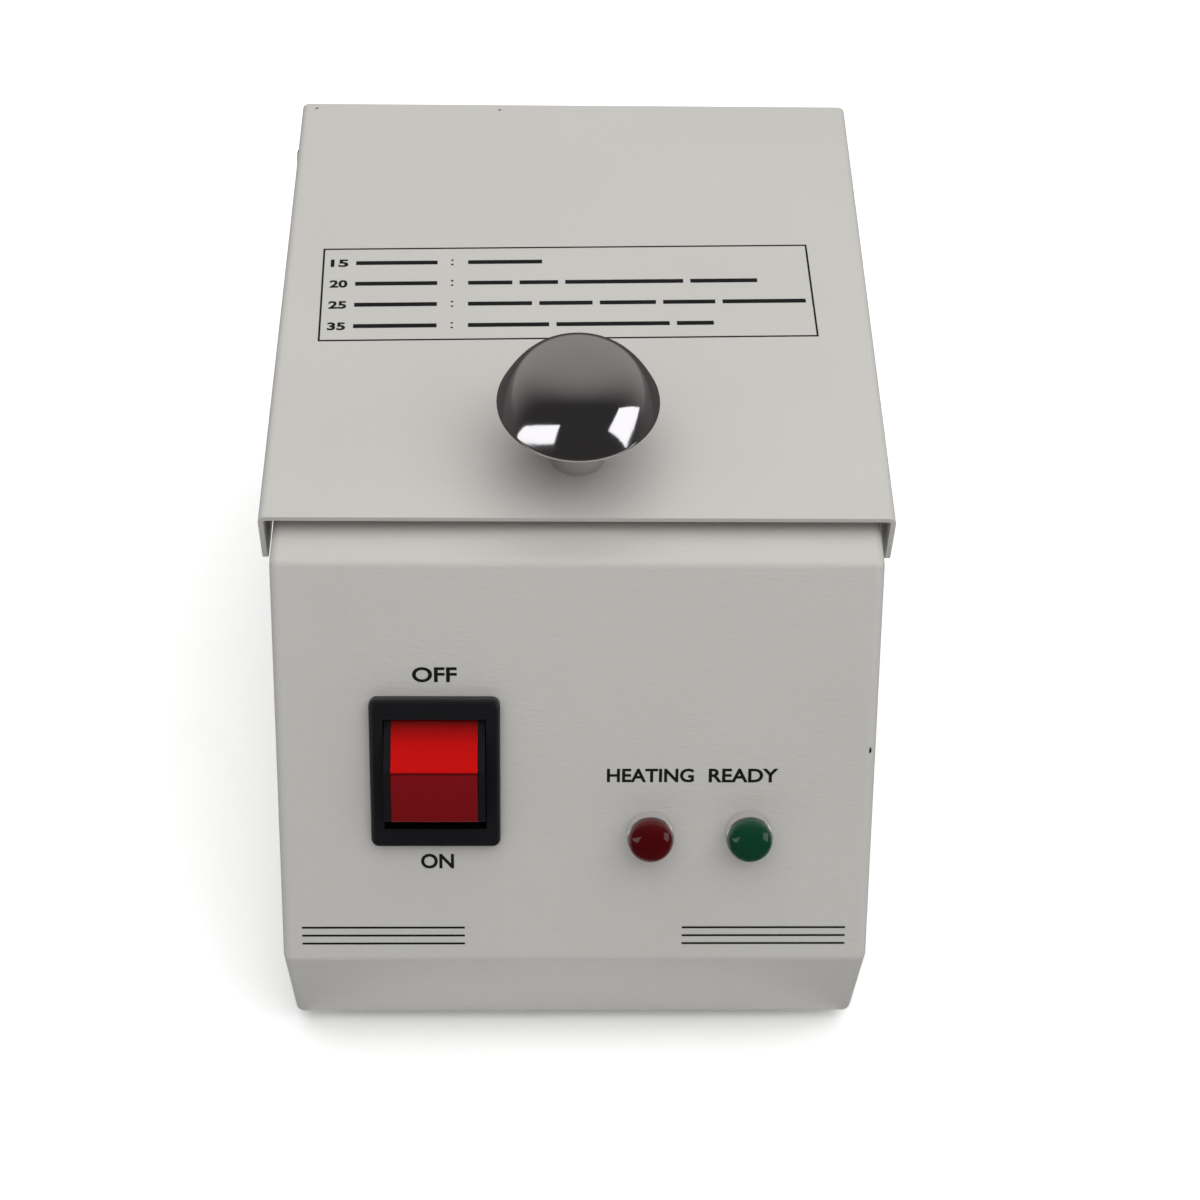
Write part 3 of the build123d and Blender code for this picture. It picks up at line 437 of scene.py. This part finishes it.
def ink():
    """Dull black ink with a faint wear."""
    material, tree, place = new_material("black_printing_ink")
    wear = add_node(tree, "ShaderNodeTexNoise", {
        "Vector": place, "Scale": 1 / ink_grain, "Detail": 3,
    }).outputs["Fac"]
    ripple = add_node(tree, "ShaderNodeTexNoise", {
        "Vector": place, "Scale": 1 / ink_ripple, "Detail": 3,
    }).outputs["Fac"]
    tone = add_node(tree, "ShaderNodeMix", {
        "Factor": wear, mix_first: linear("#0b0b0d"), mix_second: linear("#161618"),
    }, data_type="RGBA")
    rough = add_node(tree, "ShaderNodeMapRange", {"Value": wear, "To Min": 0.5, "To Max": 0.65})
    relief = add_node(tree, "ShaderNodeBump", {"Height": ripple, "Distance": ink_film})
    film = add_node(tree, "ShaderNodeBsdfPrincipled", {
        "Base Color": tone.outputs[mix_colour],
        "Roughness": rough.outputs["Result"],
        "Normal": relief.outputs["Normal"],
    })
    add_node(tree, "ShaderNodeOutputMaterial", {"Surface": film.outputs["BSDF"]})
    return material


printing_ink = ink()
print("ink grain in mm:", ink_grain / MM)

# %% [markdown]
# Small words and figures start as text, become a mesh, are scaled to the size measured on the
# object and are laid on the sheet, half sunk so that no gap shows at a low angle. Each finished
# piece gets its name and material here, and rides on the body that carries it.

# %% Helpers for printed words
def finish_piece(piece, name, material, body):
    """Names a finished piece, gives it its material and lets it ride on its body."""
    piece.name = name
    piece.data.name = name
    piece.data.materials.clear()
    piece.data.materials.append(material)
    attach(piece, body)
    return piece


def printed_word(words, width, height, bold=0.0):
    """A word or figure as a thin mesh, centred on the origin.

    Text comes out at a size of its own, so it is measured as a mesh and then scaled to the width,
    the height and the film of ink. Bold is how far the strokes are widened, before scaling.
    """
    bpy.ops.object.select_all(action="DESELECT")
    bpy.ops.object.text_add()
    piece = bpy.context.object
    piece.data.body = words
    piece.data.offset = bold
    piece.data.extrude = 0.5
    piece.data.resolution_u = 4
    bpy.ops.object.convert(target="MESH")
    piece = bpy.context.object
    corners = [vertex.co for vertex in piece.data.vertices]
    low = Vector(min(corner[axis] for corner in corners) for axis in range(3))
    high = Vector(max(corner[axis] for corner in corners) for axis in range(3))
    span = high - low
    piece.data.transform(Matrix.Translation(-(low + high) / 2))
    size = Matrix.Diagonal((width / span.x, height / span.y, 2 * ink_film / span.z, 1))
    piece.data.transform(size)
    return piece


def join_pieces(pieces):
    """Joins pieces into one mesh."""
    bpy.ops.object.select_all(action="DESELECT")
    for piece in pieces:
        piece.select_set(True)
    bpy.context.view_layer.objects.active = pieces[0]
    bpy.ops.object.join()
    return bpy.context.object


print("ink that stands over the sheet in mm:", ink_film / MM)

# %% [markdown]
# The switch has its two positions printed above and below it, and each lamp has its own word. All
# four are plain capitals about 3 mm tall. Their middles are given across the panel from its centre
# line and down the slope from its upper bend.

# %% Words on the panel
panel_bold = 0.025

# Each line holds the word, then in mm its middle across and down, its width and its height.
panel_words = [
    ("OFF", -27.45, 22.7, 8.6, 3.1),
    ("ON", -27.35, 61.9, 6.5, 3.2),
    ("HEATING", 14.4, 43.6, 17.0, 2.9),
    ("READY", 32.6, 43.6, 13.6, 2.9),
]
laid = []
for words, across, down, width, height in panel_words:
    piece = printed_word(words, width * MM, height * MM, bold=panel_bold)
    piece.data.transform(panel_place @ Matrix.Translation((across * MM, -down * MM, 0)))
    laid.append(piece)
panel_print = finish_piece(join_pieces(laid), "panel_words", printing_ink, "casing")
print("faces in the panel's words:", len(panel_print.data.polygons))

# %% [markdown]
# Rules and bars are printed strips. A plane is scaled to the strip's size, extruded into a thin
# film and copied with an Array modifier where the strip repeats. Two sets of three thin rules
# close the panel off near its lower bend.

# %% Printed strips
def close_film(thickness):
    """Raises the selected face into a closed film, turns its faces outwards, ends edit mode."""
    bpy.ops.mesh.extrude_region_move(TRANSFORM_OT_translate={"value": (0, 0, thickness)})
    bpy.ops.mesh.select_all(action="SELECT")
    bpy.ops.mesh.normals_make_consistent(inside=False)
    bpy.ops.object.mode_set(mode="OBJECT")


def printed_strip(width, height, copies=1, pitch=0.0):
    """A thin strip of ink centred on the origin, repeated downwards."""
    bpy.ops.object.select_all(action="DESELECT")
    bpy.ops.mesh.primitive_plane_add(size=1)
    piece = bpy.context.object
    bpy.ops.object.mode_set(mode="EDIT")
    bpy.ops.transform.resize(value=(width, height, 1))
    bpy.ops.transform.translate(value=(0, 0, -ink_film))
    close_film(2 * ink_film)
    if copies > 1:
        rows = piece.modifiers.new("rows", "ARRAY")
        rows.count = copies
        rows.use_relative_offset = False
        rows.use_constant_offset = True
        rows.constant_offset_displace = (0, -pitch, 0)
        bpy.ops.object.modifier_apply(modifier="rows")
    return piece


print("a printed strip is", 2 * ink_film / MM, "mm thick and half sunk")

# %% Rules on the panel
rule_height = 0.42 * MM
rule_pitch = 1.75 * MM
rules_in_a_set = 3
first_rule = 76.4 * MM
rule_ends = [(-54.5 * MM, -22.1 * MM), (21.2 * MM, 53.9 * MM)]
rules = []
for left, right in rule_ends:
    piece = printed_strip(right - left, rule_height, copies=rules_in_a_set, pitch=rule_pitch)
    piece.data.transform(panel_place @ Matrix.Translation(((left + right) / 2, -first_rule, 0)))
    rules.append(piece)
finish_piece(join_pieces(rules), "panel_rules", printing_ink, "casing")
print("rules:", len(rule_ends) * rules_in_a_set)

# %% [markdown]
# The lid carries a framed table of holding times: plain figures and plain bars inside a thin
# frame. The print sits slightly turned on the lid, as a screen that was not quite square left it.
# The frame is one plane whose rim is inset, so its corners meet without an overlap.

# %% Frame of the lid's table
table_width = 102.0 * MM
table_height = 28.0 * MM
frame_line = 0.4 * MM
table_turn = math.radians(1.2)
table_middle = Vector((-1.75 * MM, 62.9 * MM, 0))
table_place = lid_place @ Matrix.Translation(table_middle) @ Matrix.Rotation(table_turn, 4, "Z")


def table_frame():
    """A thin rectangular line: a plate with its middle inset and deleted."""
    bpy.ops.object.select_all(action="DESELECT")
    bpy.ops.mesh.primitive_plane_add(size=1)
    piece = bpy.context.object
    bpy.ops.object.mode_set(mode="EDIT")
    bpy.ops.transform.resize(value=(table_width, table_height, 1))
    bpy.ops.mesh.inset(thickness=frame_line, depth=0)
    bpy.ops.mesh.delete(type="FACE")
    bpy.ops.mesh.select_all(action="SELECT")
    bpy.ops.transform.translate(value=(0, 0, -ink_film))
    close_film(2 * ink_film)
    return piece


marks = [table_frame()]
print("faces in the frame:", len(marks[0].data.polygons))

# %% [markdown]
# A row of the table is a figure, a bar, a colon, and one to five more bars. The rows hang from the
# first one at an even pitch, and the bars follow each other with even gaps, so only the length of
# each bar is given.

# %% Rows of the lid's table
row_pitch = 6.35 * MM
first_row = 9.4 * MM
figure_left = -49.3 * MM
figure_width = 3.7 * MM
figure_height = 2.3 * MM
figure_bold = 0.035
first_bar_left = -44.0 * MM
first_bar_length = 17.0 * MM
colon_x = -23.9 * MM
colon_width = 0.55 * MM
colon_height = 1.8 * MM
later_bars_left = -20.6 * MM
bar_height = 1.15 * MM
bar_gap = 1.5 * MM

# Each line holds a figure and the lengths in mm of the bars behind its colon.
table_rows = [
    ("15", (15.5,)),
    ("20", (9.2, 8.0, 24.6, 14.0)),
    ("25", (13.2, 11.0, 11.6, 10.8, 17.3)),
    ("35", (16.6, 23.2, 7.6)),
]


def lay_mark(piece, across, up):
    """Moves a mark to its place in the table and keeps it for the join."""
    piece.data.transform(Matrix.Translation((across, up, 0)))
    marks.append(piece)


for row, (figure, bar_lengths) in enumerate(table_rows):
    up = first_row - row * row_pitch
    number = printed_word(figure, figure_width, figure_height, bold=figure_bold)
    lay_mark(number, figure_left + figure_width / 2, up)
    first_bar = printed_strip(first_bar_length, bar_height)
    lay_mark(first_bar, first_bar_left + first_bar_length / 2, up)
    lay_mark(printed_word(":", colon_width, colon_height), colon_x, up)
    start = later_bars_left
    for length in bar_lengths:
        lay_mark(printed_strip(length * MM, bar_height), start + length * MM / 2, up)
        start += length * MM + bar_gap
lid_table = join_pieces(marks)
lid_table.data.transform(table_place)
finish_piece(lid_table, "lid_table", printing_ink, "lid")
print("marks in the lid's table:", len(marks))

# %% [markdown]
# The well is filled with small glass beads, about 1.5 mm across. Only the top of the bed can be
# seen, so two layers of beads lie over a plain core. Each bead is a low ball with smooth shading,
# because it is repeated hundreds of times.

# %% One bead, and the core under the beads
bead_radius = 0.75 * MM
bead_flatness = 0.98
core_depth_in_beads = 1.5
core_edge = 0.3 * MM
bed_low, bed_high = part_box("glass_beads")
bed_middle = (bed_low + bed_high) / 2
bed_radius = (bed_high.x - bed_low.x) / 2


def bead_ball():
    """One bead, flattened a hair, because no bead of this kind is a true ball."""
    bpy.ops.object.select_all(action="DESELECT")
    bpy.ops.mesh.primitive_uv_sphere_add(segments=8, ring_count=6, radius=bead_radius)
    piece = bpy.context.object
    bpy.ops.object.mode_set(mode="EDIT")
    bpy.ops.transform.resize(value=(1, 1, bead_flatness))
    bpy.ops.object.mode_set(mode="OBJECT")
    bpy.ops.object.shade_smooth()
    return piece


def bead_core():
    """A plain round core that ends just under the top beads."""
    bpy.ops.object.select_all(action="DESELECT")
    depth = bed_high.z - bed_low.z - core_depth_in_beads * 2 * bead_radius
    bpy.ops.mesh.primitive_cylinder_add(vertices=48, radius=bed_radius, depth=depth)
    piece = bpy.context.object
    bpy.ops.object.mode_set(mode="EDIT")
    bpy.ops.transform.translate(value=(bed_middle.x, bed_middle.y, bed_low.z + depth / 2))
    bpy.ops.mesh.bevel(offset=core_edge, segments=1)
    bpy.ops.object.mode_set(mode="OBJECT")
    return piece


print("radius of the bed in mm:", round(bed_radius / MM, 2))

# %% [markdown]
# Beads that settle in a round cup lie in a ring along its wall, and in a shaken hexagonal field
# inside that ring. A hexagonal lattice cut off at the wall would leave gaps there, so each layer
# is laid as a ring and a field. The second layer lies in the hollows of the first, and a bead
# sinks more easily than it rises.

# %% Where the beads lie
bead_pitch = 2.04 * bead_radius
row_step = 0.87 * bead_pitch
layer_drop = 1.5 * bead_radius
layer_shift = Vector((bead_pitch / 2, 0.29 * bead_pitch, 0))
wall_radius = bed_radius - 1.08 * bead_radius
field_radius = wall_radius - 1.75 * bead_radius
shake_size = 0.07 * bead_radius
sideways_shake = (-1, 1)
upward_shake = (-2.5, 0.3)
random.seed(4)


def wall_ring(layer):
    """The beads of one layer that touch the wall."""
    count = int(2 * math.pi * wall_radius / bead_pitch)
    angles = [2 * math.pi * (number + layer / 2) / count for number in range(count)]
    return [wall_radius * Vector((math.cos(angle), math.sin(angle), 0)) for angle in angles]


def inner_field(layer):
    """The beads of one layer inside the ring, in rows where every other row is half a bead off."""
    rows = int(bed_radius / bead_pitch) + 2
    field = []
    for row in range(-rows, rows + 1):
        for column in range(-rows, rows + 1):
            across = bead_pitch * (column + 0.5 * (row % 2))
            spot = Vector((across, row_step * row, 0)) + layer * layer_shift
            if spot.length < field_radius:
                field.append(spot)
    return field


spots = []
for layer in range(2):
    layer_middle = Vector((bed_middle.x, bed_middle.y, bed_high.z - bead_radius - layer * layer_drop))
    for spot in wall_ring(layer) + inner_field(layer):
        ranges = (sideways_shake, sideways_shake, upward_shake)
        shake = Vector([random.uniform(*span) for span in ranges])
        spots.append(layer_middle + spot + shake_size * shake)
print("beads:", len(spots))

# %% [markdown]
# Every bead is a copy of the one ball with its own mesh, turned at random so that the beads catch
# the light differently. Joined with the core, they stand in for the plain solid of the CAD.

# %% Bed of glass beads
ball = bead_ball()
beads = [bead_core()]
for spot in spots:
    bead = ball.copy()
    bead.data = ball.data.copy()
    turn = Matrix.Rotation(random.uniform(0, math.pi), 4, random.choice("XYZ"))
    bead.data.transform(Matrix.Translation(spot) @ turn)
    bpy.context.scene.collection.objects.link(bead)
    beads.append(bead)
bpy.data.objects.remove(ball)
bead_bed = join_pieces(beads)
finish_piece(bead_bed, "bead_bed", finishes["bead_glass"], "casing")
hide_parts("glass_beads")
print("faces in the bed:", len(bead_bed.data.polygons))

# %% [markdown]
# The coat has a few small chips where something struck it. Each is a low, uneven patch of dark
# bare steel, which looks dull beside the paint. It is made from a circle whose rim is pushed in
# and out.

# %% Chips in the coat
chip_corners = 14
rim_share = (0.7, 1.0)
chip_steel = bare_metal("bare_steel_in_a_chip", "#4a4540", 0.4, 0.55, 0.4 * MM, 0.01 * MM)


def chip(width, height, place):
    """An uneven patch of this size, laid at its place on a sheet."""
    bpy.ops.object.select_all(action="DESELECT")
    bpy.ops.mesh.primitive_circle_add(vertices=chip_corners, radius=0.5, fill_type="NGON")
    piece = bpy.context.object
    for vertex in piece.data.vertices:
        vertex.co *= random.uniform(*rim_share)
    bpy.ops.object.mode_set(mode="EDIT")
    bpy.ops.transform.resize(value=(width, height, 1), center_override=(0, 0, 0))
    close_film(ink_film)
    piece.data.transform(place)
    return piece


panel_chip_spot = Vector((57.2 * MM, -38.25 * MM, 0))
lid_chip_spots = [Vector((-57.5 * MM, 122.6 * MM, 0)), Vector((-16.7 * MM, 122.4 * MM, 0))]

panel_chip = chip(0.5 * MM, 1.4 * MM, panel_place @ Matrix.Translation(panel_chip_spot))
finish_piece(panel_chip, "panel_chip", chip_steel, "casing")
lid_chips = [
    chip(0.8 * MM, 0.5 * MM, lid_place @ Matrix.Translation(spot)) for spot in lid_chip_spots
]
finish_piece(join_pieces(lid_chips), "lid_chips", chip_steel, "lid")
print("chips:", 1 + len(lid_chips))

# %% [markdown]
# The floor is a wide white sheet. To the camera, and in mirrors and glass, its colour is raised,
# and more so far away, where less light falls. It then reads as clean white with the object's
# shadow on it. What it throws back onto the object is the light of a plain white sheet.

# %% Floor
sheet_size = 12
plain_white = 0.88
near_distance = 0.4
near_white = 1.48
far_distance = 4.0
far_white = 12.0


def seen_share(tree):
    """1 for rays from the camera, from mirrors and through glass, else 0."""
    path = add_node(tree, "ShaderNodeLightPath")
    first = add_node(tree, "ShaderNodeMath", {
        0: path.outputs["Is Camera Ray"], 1: path.outputs["Is Glossy Ray"],
    }, operation="MAXIMUM")
    second = add_node(tree, "ShaderNodeMath", {
        0: first.outputs[0], 1: path.outputs["Is Transmission Ray"],
    }, operation="MAXIMUM")
    return second.outputs[0]


white_sheet, tree, place = new_material("white_studio_sheet")
distance = add_node(tree, "ShaderNodeVectorMath", {0: place}, operation="LENGTH")
seen_white = add_node(tree, "ShaderNodeMapRange", {
    "Value": distance.outputs["Value"],
    "From Min": near_distance,
    "From Max": far_distance,
    "To Min": near_white,
    "To Max": far_white,
})
white = add_node(tree, "ShaderNodeMapRange", {
    "Value": seen_share(tree), "To Min": plain_white, "To Max": seen_white.outputs["Result"],
})
paper = add_node(tree, "ShaderNodeBsdfDiffuse", {"Color": white.outputs["Result"]})
add_node(tree, "ShaderNodeOutputMaterial", {"Surface": paper.outputs["BSDF"]})

bpy.ops.object.select_all(action="DESELECT")
bpy.ops.mesh.primitive_plane_add(size=sheet_size)
floor = bpy.context.object
floor.name = "studio_floor"
floor.data.materials.append(white_sheet)
print("floor in metres:", sheet_size, "by", sheet_size)

# %% [markdown]
# The world gives a soft fill from all round, as the walls of a pale room do, and is white to the
# camera. The fill is kept weak, so that the lamps below shape the light.

# %% World
fill_strength = 0.22
seen_strength = 1.0
world = bpy.data.worlds.new("studio_air")
world.use_nodes = True
bpy.context.scene.world = world
tree = world.node_tree
tree.nodes.clear()
strength = add_node(tree, "ShaderNodeMapRange", {
    "Value": seen_share(tree), "To Min": fill_strength, "To Max": seen_strength,
})
sky = add_node(tree, "ShaderNodeBackground", {
    "Color": (1, 1, 1, 1), "Strength": strength.outputs["Result"],
})
add_node(tree, "ShaderNodeOutputWorld", {"Surface": sky.outputs["Background"]})
print("fill from the world:", fill_strength)

# %% [markdown]
# Two large soft boxes stand at the front left and at the right, and a wide lamp overhead keeps the
# lid a little brighter than the sloped panel. A lamp's power grows with its area, so it is worked
# out from how bright its face looks. All three are hidden from mirrors, which get cards of their
# own below.

# %% Lamps
knob_low, knob_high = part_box("lid_knob")
aim = Vector((0, (knob_low.y + knob_high.y) / 2, knob_high.z))


def stand_off(turn, height, distance):
    """A place that faces the knob. The turn is to the right of the front, both are in degrees."""
    turned = math.radians(turn)
    raised = math.radians(height)
    away = Vector((
        math.sin(turned) * math.cos(raised),
        -math.cos(turned) * math.cos(raised),
        math.sin(raised),
    ))
    facing = away.to_track_quat("Z", "Y").to_matrix().to_4x4()
    return Matrix.Translation(aim + distance * away) @ facing


def soft_box(name, turn, height, distance, width, tall, radiance):
    """A rectangular lamp aimed at the knob."""
    lamp = bpy.data.lights.new(name, "AREA")
    lamp.shape = "RECTANGLE"
    lamp.size = width
    lamp.size_y = tall
    lamp.energy = radiance * math.pi * width * tall
    holder = bpy.data.objects.new(name, lamp)
    bpy.context.scene.collection.objects.link(holder)
    holder.matrix_world = stand_off(turn, height, distance)
    holder.visible_glossy = False


# Each line holds the name, turn and height in degrees, distance, width and height, and radiance.
lamps = [
    ("soft_box_left", -47, 42, 1.0, 0.95, 0.72, 0.55),
    ("soft_box_right", 60, 40, 1.0, 0.95, 0.72, 0.75),
    ("overhead", 120, 82, 1.3, 1.9, 1.9, 1.55),
]
for settings in lamps:
    soft_box(*settings)
print("lamps:", len(lamps))

# %% [markdown]
# Chrome shows the whole room. In a white room it would look like white paint, so photographers
# put dark flags and white cards round it. Each here glows with an even tone that nothing but
# mirror rays can see. The dark tone grows from the front of the room to the back, which gives the
# knob its soft sweep from black to grey.

# %% Tones for flags and cards
room_front = -0.6
room_back = 1.9
flag_glow = (0.035, 0.33)
card_glow = (1.4, 1.4)


def reflector_material(name, tint, glow, one_sided=False):
    """A glow that grows from the front of the room to the back."""
    material, tree, place = new_material(name)
    split = add_node(tree, "ShaderNodeSeparateXYZ", {"Vector": place})
    shade = add_node(tree, "ShaderNodeMapRange", {
        "Value": split.outputs["Y"],
        "From Min": room_front,
        "From Max": room_back,
        "To Min": glow[0],
        "To Max": glow[1],
    }, interpolation_type="SMOOTHSTEP")
    light = add_node(tree, "ShaderNodeEmission", {
        "Color": linear(tint), "Strength": shade.outputs["Result"],
    })
    surface = light.outputs["Emission"]
    if one_sided:
        behind = add_node(tree, "ShaderNodeNewGeometry").outputs["Backfacing"]
        clear = add_node(tree, "ShaderNodeBsdfTransparent").outputs["BSDF"]
        surface = add_node(tree, "ShaderNodeMixShader", {0: behind, 1: surface, 2: clear}).outputs[0]
    add_node(tree, "ShaderNodeOutputMaterial", {"Surface": surface})
    return material


def show_to_mirrors_only(piece, name, material):
    """Names a stage piece, gives it its tone and hides it from all but mirror rays."""
    piece.name = name
    piece.data.materials.append(material)
    piece.visible_camera = False
    piece.visible_diffuse = False
    piece.visible_transmission = False
    piece.visible_volume_scatter = False
    piece.visible_shadow = False


flag_tone = reflector_material("dark_studio_flag", "#f5f1ef", flag_glow)
card_tone = reflector_material("white_card", "#fbfcff", card_glow)
ring_tone = reflector_material("dark_ring_card", "#f5f1ef", flag_glow, one_sided=True)
print("tones of the room:", flag_glow, "and", card_glow)

# %% [markdown]
# The knob's two highlights are four-cornered, so each comes from a white card low at the front. A
# card is a plane whose corners are moved to where they stand as seen from the knob.

# %% White cards
card_distance = 1.0

# The corners of each card, by their turn and height in degrees.
cards = {
    "card_left": ((-29, 27), (-31, 6), (-82, -9), (-76, 0)),
    "card_right": ((42, 14), (59, -4), (98, 1), (74, 31)),
}
for name, corners in cards.items():
    bpy.ops.object.select_all(action="DESELECT")
    bpy.ops.mesh.primitive_plane_add(size=1)
    piece = bpy.context.object
    for number, (turn, height) in zip(piece.data.polygons[0].vertices, corners):
        piece.data.vertices[number].co = stand_off(turn, height, card_distance).translation
    show_to_mirrors_only(piece, name, card_tone)
print("cards:", len(cards))

# %% [markdown]
# A dark ring lies just over the lid and darkens the knob's underside, which would mirror the pale
# lid. It is a circle extruded outwards and cut to the lid's edges. It shows from above only, so
# that it can't darken what lies under it when the lid stands open.

# %% Dark ring over the lid
ring_radius = 19 * MM
ring_lift = 1 * MM
ring_growth = 8

bpy.ops.object.select_all(action="DESELECT")
bpy.ops.mesh.primitive_circle_add(vertices=64, radius=ring_radius)
ring = bpy.context.object
bpy.ops.object.mode_set(mode="EDIT")
bpy.ops.transform.translate(value=(0, aim.y, lid_high.z + ring_lift))
bpy.ops.mesh.extrude_region_move()
bpy.ops.transform.resize(value=(ring_growth, ring_growth, 1))
for corner, way in ((lid_low, -1), (lid_high, 1)):
    for side in ((way, 0, 0), (0, way, 0)):
        bpy.ops.mesh.select_all(action="SELECT")
        bpy.ops.mesh.bisect(plane_co=corner, plane_no=side, clear_outer=True)
bpy.ops.mesh.select_all(action="SELECT")
bpy.ops.mesh.normals_make_consistent(inside=False)
bpy.ops.object.mode_set(mode="OBJECT")
if ring.data.polygons[0].normal.z < 0:
    ring.data.flip_normals()
show_to_mirrors_only(ring, "dark_ring", ring_tone)
print("faces in the ring:", len(ring.data.polygons))

# %% [markdown]
# The flag is a dome over the whole set, with a skirt on the floor: the cut rim of the dome is
# extruded and drawn in, almost to the object, so the knob's lower half sees it instead of the
# white floor.

# %% Dark flag over the set
dome_radius = 2.0
dome_rim_height = 5 * MM
skirt_share = 0.052

bpy.ops.object.select_all(action="DESELECT")
bpy.ops.mesh.primitive_uv_sphere_add(segments=48, ring_count=24, radius=dome_radius)
flag = bpy.context.object
bpy.ops.object.mode_set(mode="EDIT")
bpy.ops.mesh.bisect(plane_co=(0, 0, dome_rim_height), plane_no=(0, 0, 1), clear_inner=True)
bpy.ops.mesh.extrude_region_move()
bpy.ops.transform.resize(value=(skirt_share, skirt_share, 1))
bpy.ops.object.mode_set(mode="OBJECT")
show_to_mirrors_only(flag, "dark_flag", flag_tone)
print("the skirt ends at a radius of", round(skirt_share * dome_radius, 3), "m")

# %% [markdown]
# The camera stands where the photograph's did: in front of the object and well above it, looking
# about 50 degrees down. Its place is given from the panel's upper bend, and its turn as pitch,
# yaw and a slight roll.

# %% Camera
camera_pitch = math.radians(50.18)
camera_yaw = math.radians(2.03)
camera_roll = math.radians(1.68)
camera_from_bend = Vector((-5.7, -283.87, 329.53)) * MM
focal_pixels = 2300
picture_width = 1200
sensor_width_mm = 36

ahead = Vector((
    math.sin(camera_yaw) * math.cos(camera_pitch),
    math.cos(camera_yaw) * math.cos(camera_pitch),
    -math.sin(camera_pitch),
))
right = Vector((math.cos(camera_yaw), -math.sin(camera_yaw), 0))
up = right.cross(ahead)
rolled_right = math.cos(camera_roll) * right + math.sin(camera_roll) * up
rolled_up = math.cos(camera_roll) * up - math.sin(camera_roll) * right

camera_data = bpy.data.cameras.new("photo_camera")
camera_data.sensor_width = sensor_width_mm
camera_data.lens = focal_pixels / picture_width * sensor_width_mm
camera_data.clip_start = 0.01
camera_data.clip_end = 20
camera = bpy.data.objects.new("photo_camera", camera_data)
bpy.context.scene.collection.objects.link(camera)
turn = Matrix((rolled_right, rolled_up, -ahead)).transposed().to_4x4()
camera.matrix_world = Matrix.Translation(upper_bend + camera_from_bend) @ turn
bpy.context.scene.camera = camera
bpy.context.scene.view_settings.view_transform = "Standard"
print("camera at:", tuple(round(v, 3) for v in camera.matrix_world.translation))
